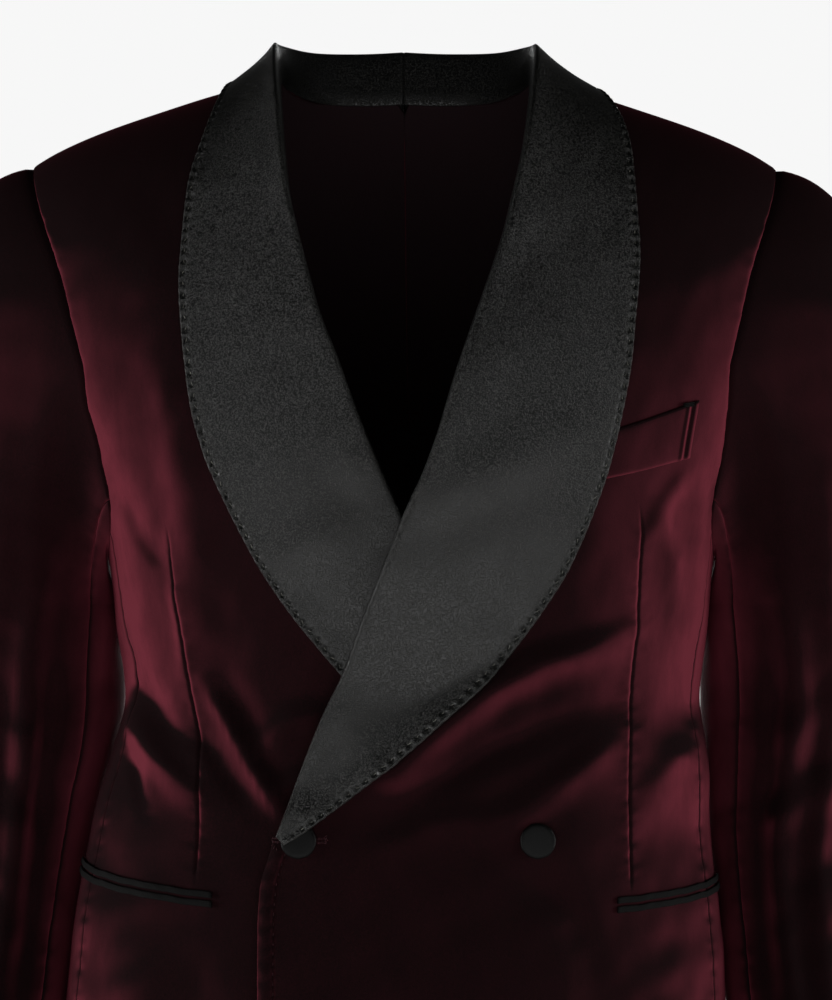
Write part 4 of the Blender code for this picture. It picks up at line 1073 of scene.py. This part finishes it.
def on_front(side, x, z, out):
    """A point on a front."""
    return cloth_point(side, float(turn_at(x, z, FRONT)), z, out)


HOLE_Z = -0.4597
starts, ends = [], []
for x in np.arange(-0.0772, -0.0452, 0.0009):
    for lip in (-1.0, 1.0):
        starts.append(on_front(LEFT, x, HOLE_Z + lip * 0.0003, 0.0003))
        reach = 0.0019 + 0.0002 * math.sin(x * 9000.0)
        ends.append(on_front(LEFT, x + 0.0002, HOLE_Z + lip * reach, 0.0002))
# the frayed ends stand off at both ends of the hole
for x, z, across, upward in ((-.0464, -.4576, .0016, .0010), (-.0460, -.4586, .0018, -.0010),
                             (-.0462, -.4600, .0010, .0022), (-.0468, -.4608, .0016, -.0008),
                             (-.0762, -.4620, -.0016, -.0010), (-.0756, -.4630, -.0010, -.0022),
                             (-.0750, -.4636, .0006, -.0024), (-.0764, -.4608, -.0012, .0012)):
    starts.append(on_front(LEFT, x, z, 0.0004))
    ends.append(on_front(LEFT, x + across, z + upward, 0.0014))
buttonhole = add_threads("buttonhole_silk", starts, ends, THREAD, burgundy_silk)
for side, hand in SIDES:
    points, z = fronts[side][1:]
    starts, ends = [], []
    for level in np.arange(HEM_Z + 0.006, BREAK_Z - 0.010, EDGE_STITCH):
        level = round(level / EDGE_STITCH) * EDGE_STITCH
        row = int(np.argmin(np.abs(z[:, 9] - level)))
        starts.append(points[row, 9] + (0.0, -0.0002, 0.0012))
        ends.append(points[row, 9] + (0.0, -0.0002, -0.0012))
    add_threads("edge_pricking_" + hand, starts, ends, THREAD, burgundy_silk)
starts = [on_front(LEFT, .1690, z, WELT + LAID + .0004) for z in (-.1972, -.1963, -.1954)]
ends = [on_front(LEFT, .1768, z, WELT + LAID) for z in (-.1962, -.1953, -.1944)]
tack = add_threads("welt_tack_silk", starts, ends, 0.0011, piping)
for side, sewn_on in ((LEFT, [welt, fastened, show, buttonhole, tack]), (RIGHT, [])):
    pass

# The studio: a plain pale floor below the hem, an open white surround that darkens overhead, and
# soft boxes at both sides, low in front and behind, which light the velvet's sides, the satin's
# lower half and the back.

FLOOR_Z = -0.95
floor_mesh = bpy.data.meshes.new("studio_floor")
floor_mesh.from_pydata([(x, y, FLOOR_Z) for x, y in ((-30, -30), (30, -30), (30, 30), (-30, 30))], [],
                       [(0, 1, 2, 3)])
floor = bpy.data.objects.new("studio_floor", floor_mesh)
bpy.context.scene.collection.objects.link(floor)
floor_paint = add_material("pale_floor_paint")
feed(floor_paint, floor_paint.node_tree.nodes["Principled BSDF"],
     {"Base Color": linear("#727271"), "Roughness": 0.7, "Emission Color": linear("#f2f2f0"),
      "Emission Strength": 0.52})
floor_mesh.materials.append(floor_paint)

world = bpy.data.worlds.new("studio_surround")
bpy.context.scene.world = world
world.use_nodes = True
sky = add_node(world, "ShaderNodeSeparateXYZ",
               {0: add_node(world, "ShaderNodeTexCoord", {}).outputs["Generated"]})
ramp = add_node(world, "ShaderNodeMapRange",
                {"Value": sky.outputs["Z"], "From Min": -0.12, "From Max": 0.42, "To Min": 0.44,
                 "To Max": 0.02}, interpolation_type="SMOOTHSTEP")
# the surround shows white, and lights the jacket with a part of that
shown = add_node(world, "ShaderNodeMix",
                 {0: add_node(world, "ShaderNodeLightPath", {}).outputs["Is Camera Ray"],
                  2: ramp.outputs[0], 3: 0.93}, data_type="FLOAT")
feed(world, world.node_tree.nodes["Background"], {"Color": shown.outputs[0]})


def add_softbox(name, place, aim, size, power):
    """A soft box that looks at a point."""
    light = bpy.data.lights.new(name, "AREA")
    light.shape = "RECTANGLE"
    light.size, light.size_y = size
    light.energy = power
    box = bpy.data.objects.new(name, light)
    box.location = place
    box.rotation_euler = (Vector(aim) - Vector(place)).to_track_quat("-Z", "Y").to_euler()
    box.visible_camera = False
    bpy.context.scene.collection.objects.link(box)


add_softbox("softbox_left", (-2.3, -0.30, -0.55), (0.0, 0.0, -0.45), (1.0, 1.4), 50.0)
add_softbox("softbox_right", (2.3, -0.30, -0.55), (0.0, 0.0, -0.45), (1.0, 1.4), 38.0)
add_softbox("softbox_low", (0.0, -1.4, -0.84), (0.0, -0.1, -0.45), (1.5, 0.4), 9.0)
add_softbox("softbox_back", (0.0, 2.4, -0.30), (0.0, 0.0, -0.40), (2.4, 1.4), 60.0)

lens = bpy.data.cameras.new("camera")
lens.sensor_fit = "AUTO"
lens.sensor_width = 36.0
lens.lens = 150.0
camera = bpy.data.objects.new("camera", lens)
camera.location = (0.008, -2.63, -0.254)
camera.rotation_euler = (math.radians(90.0), 0.0, 0.0)
bpy.context.scene.collection.objects.link(camera)
bpy.context.scene.camera = camera
bpy.context.scene.view_settings.view_transform = "Standard"
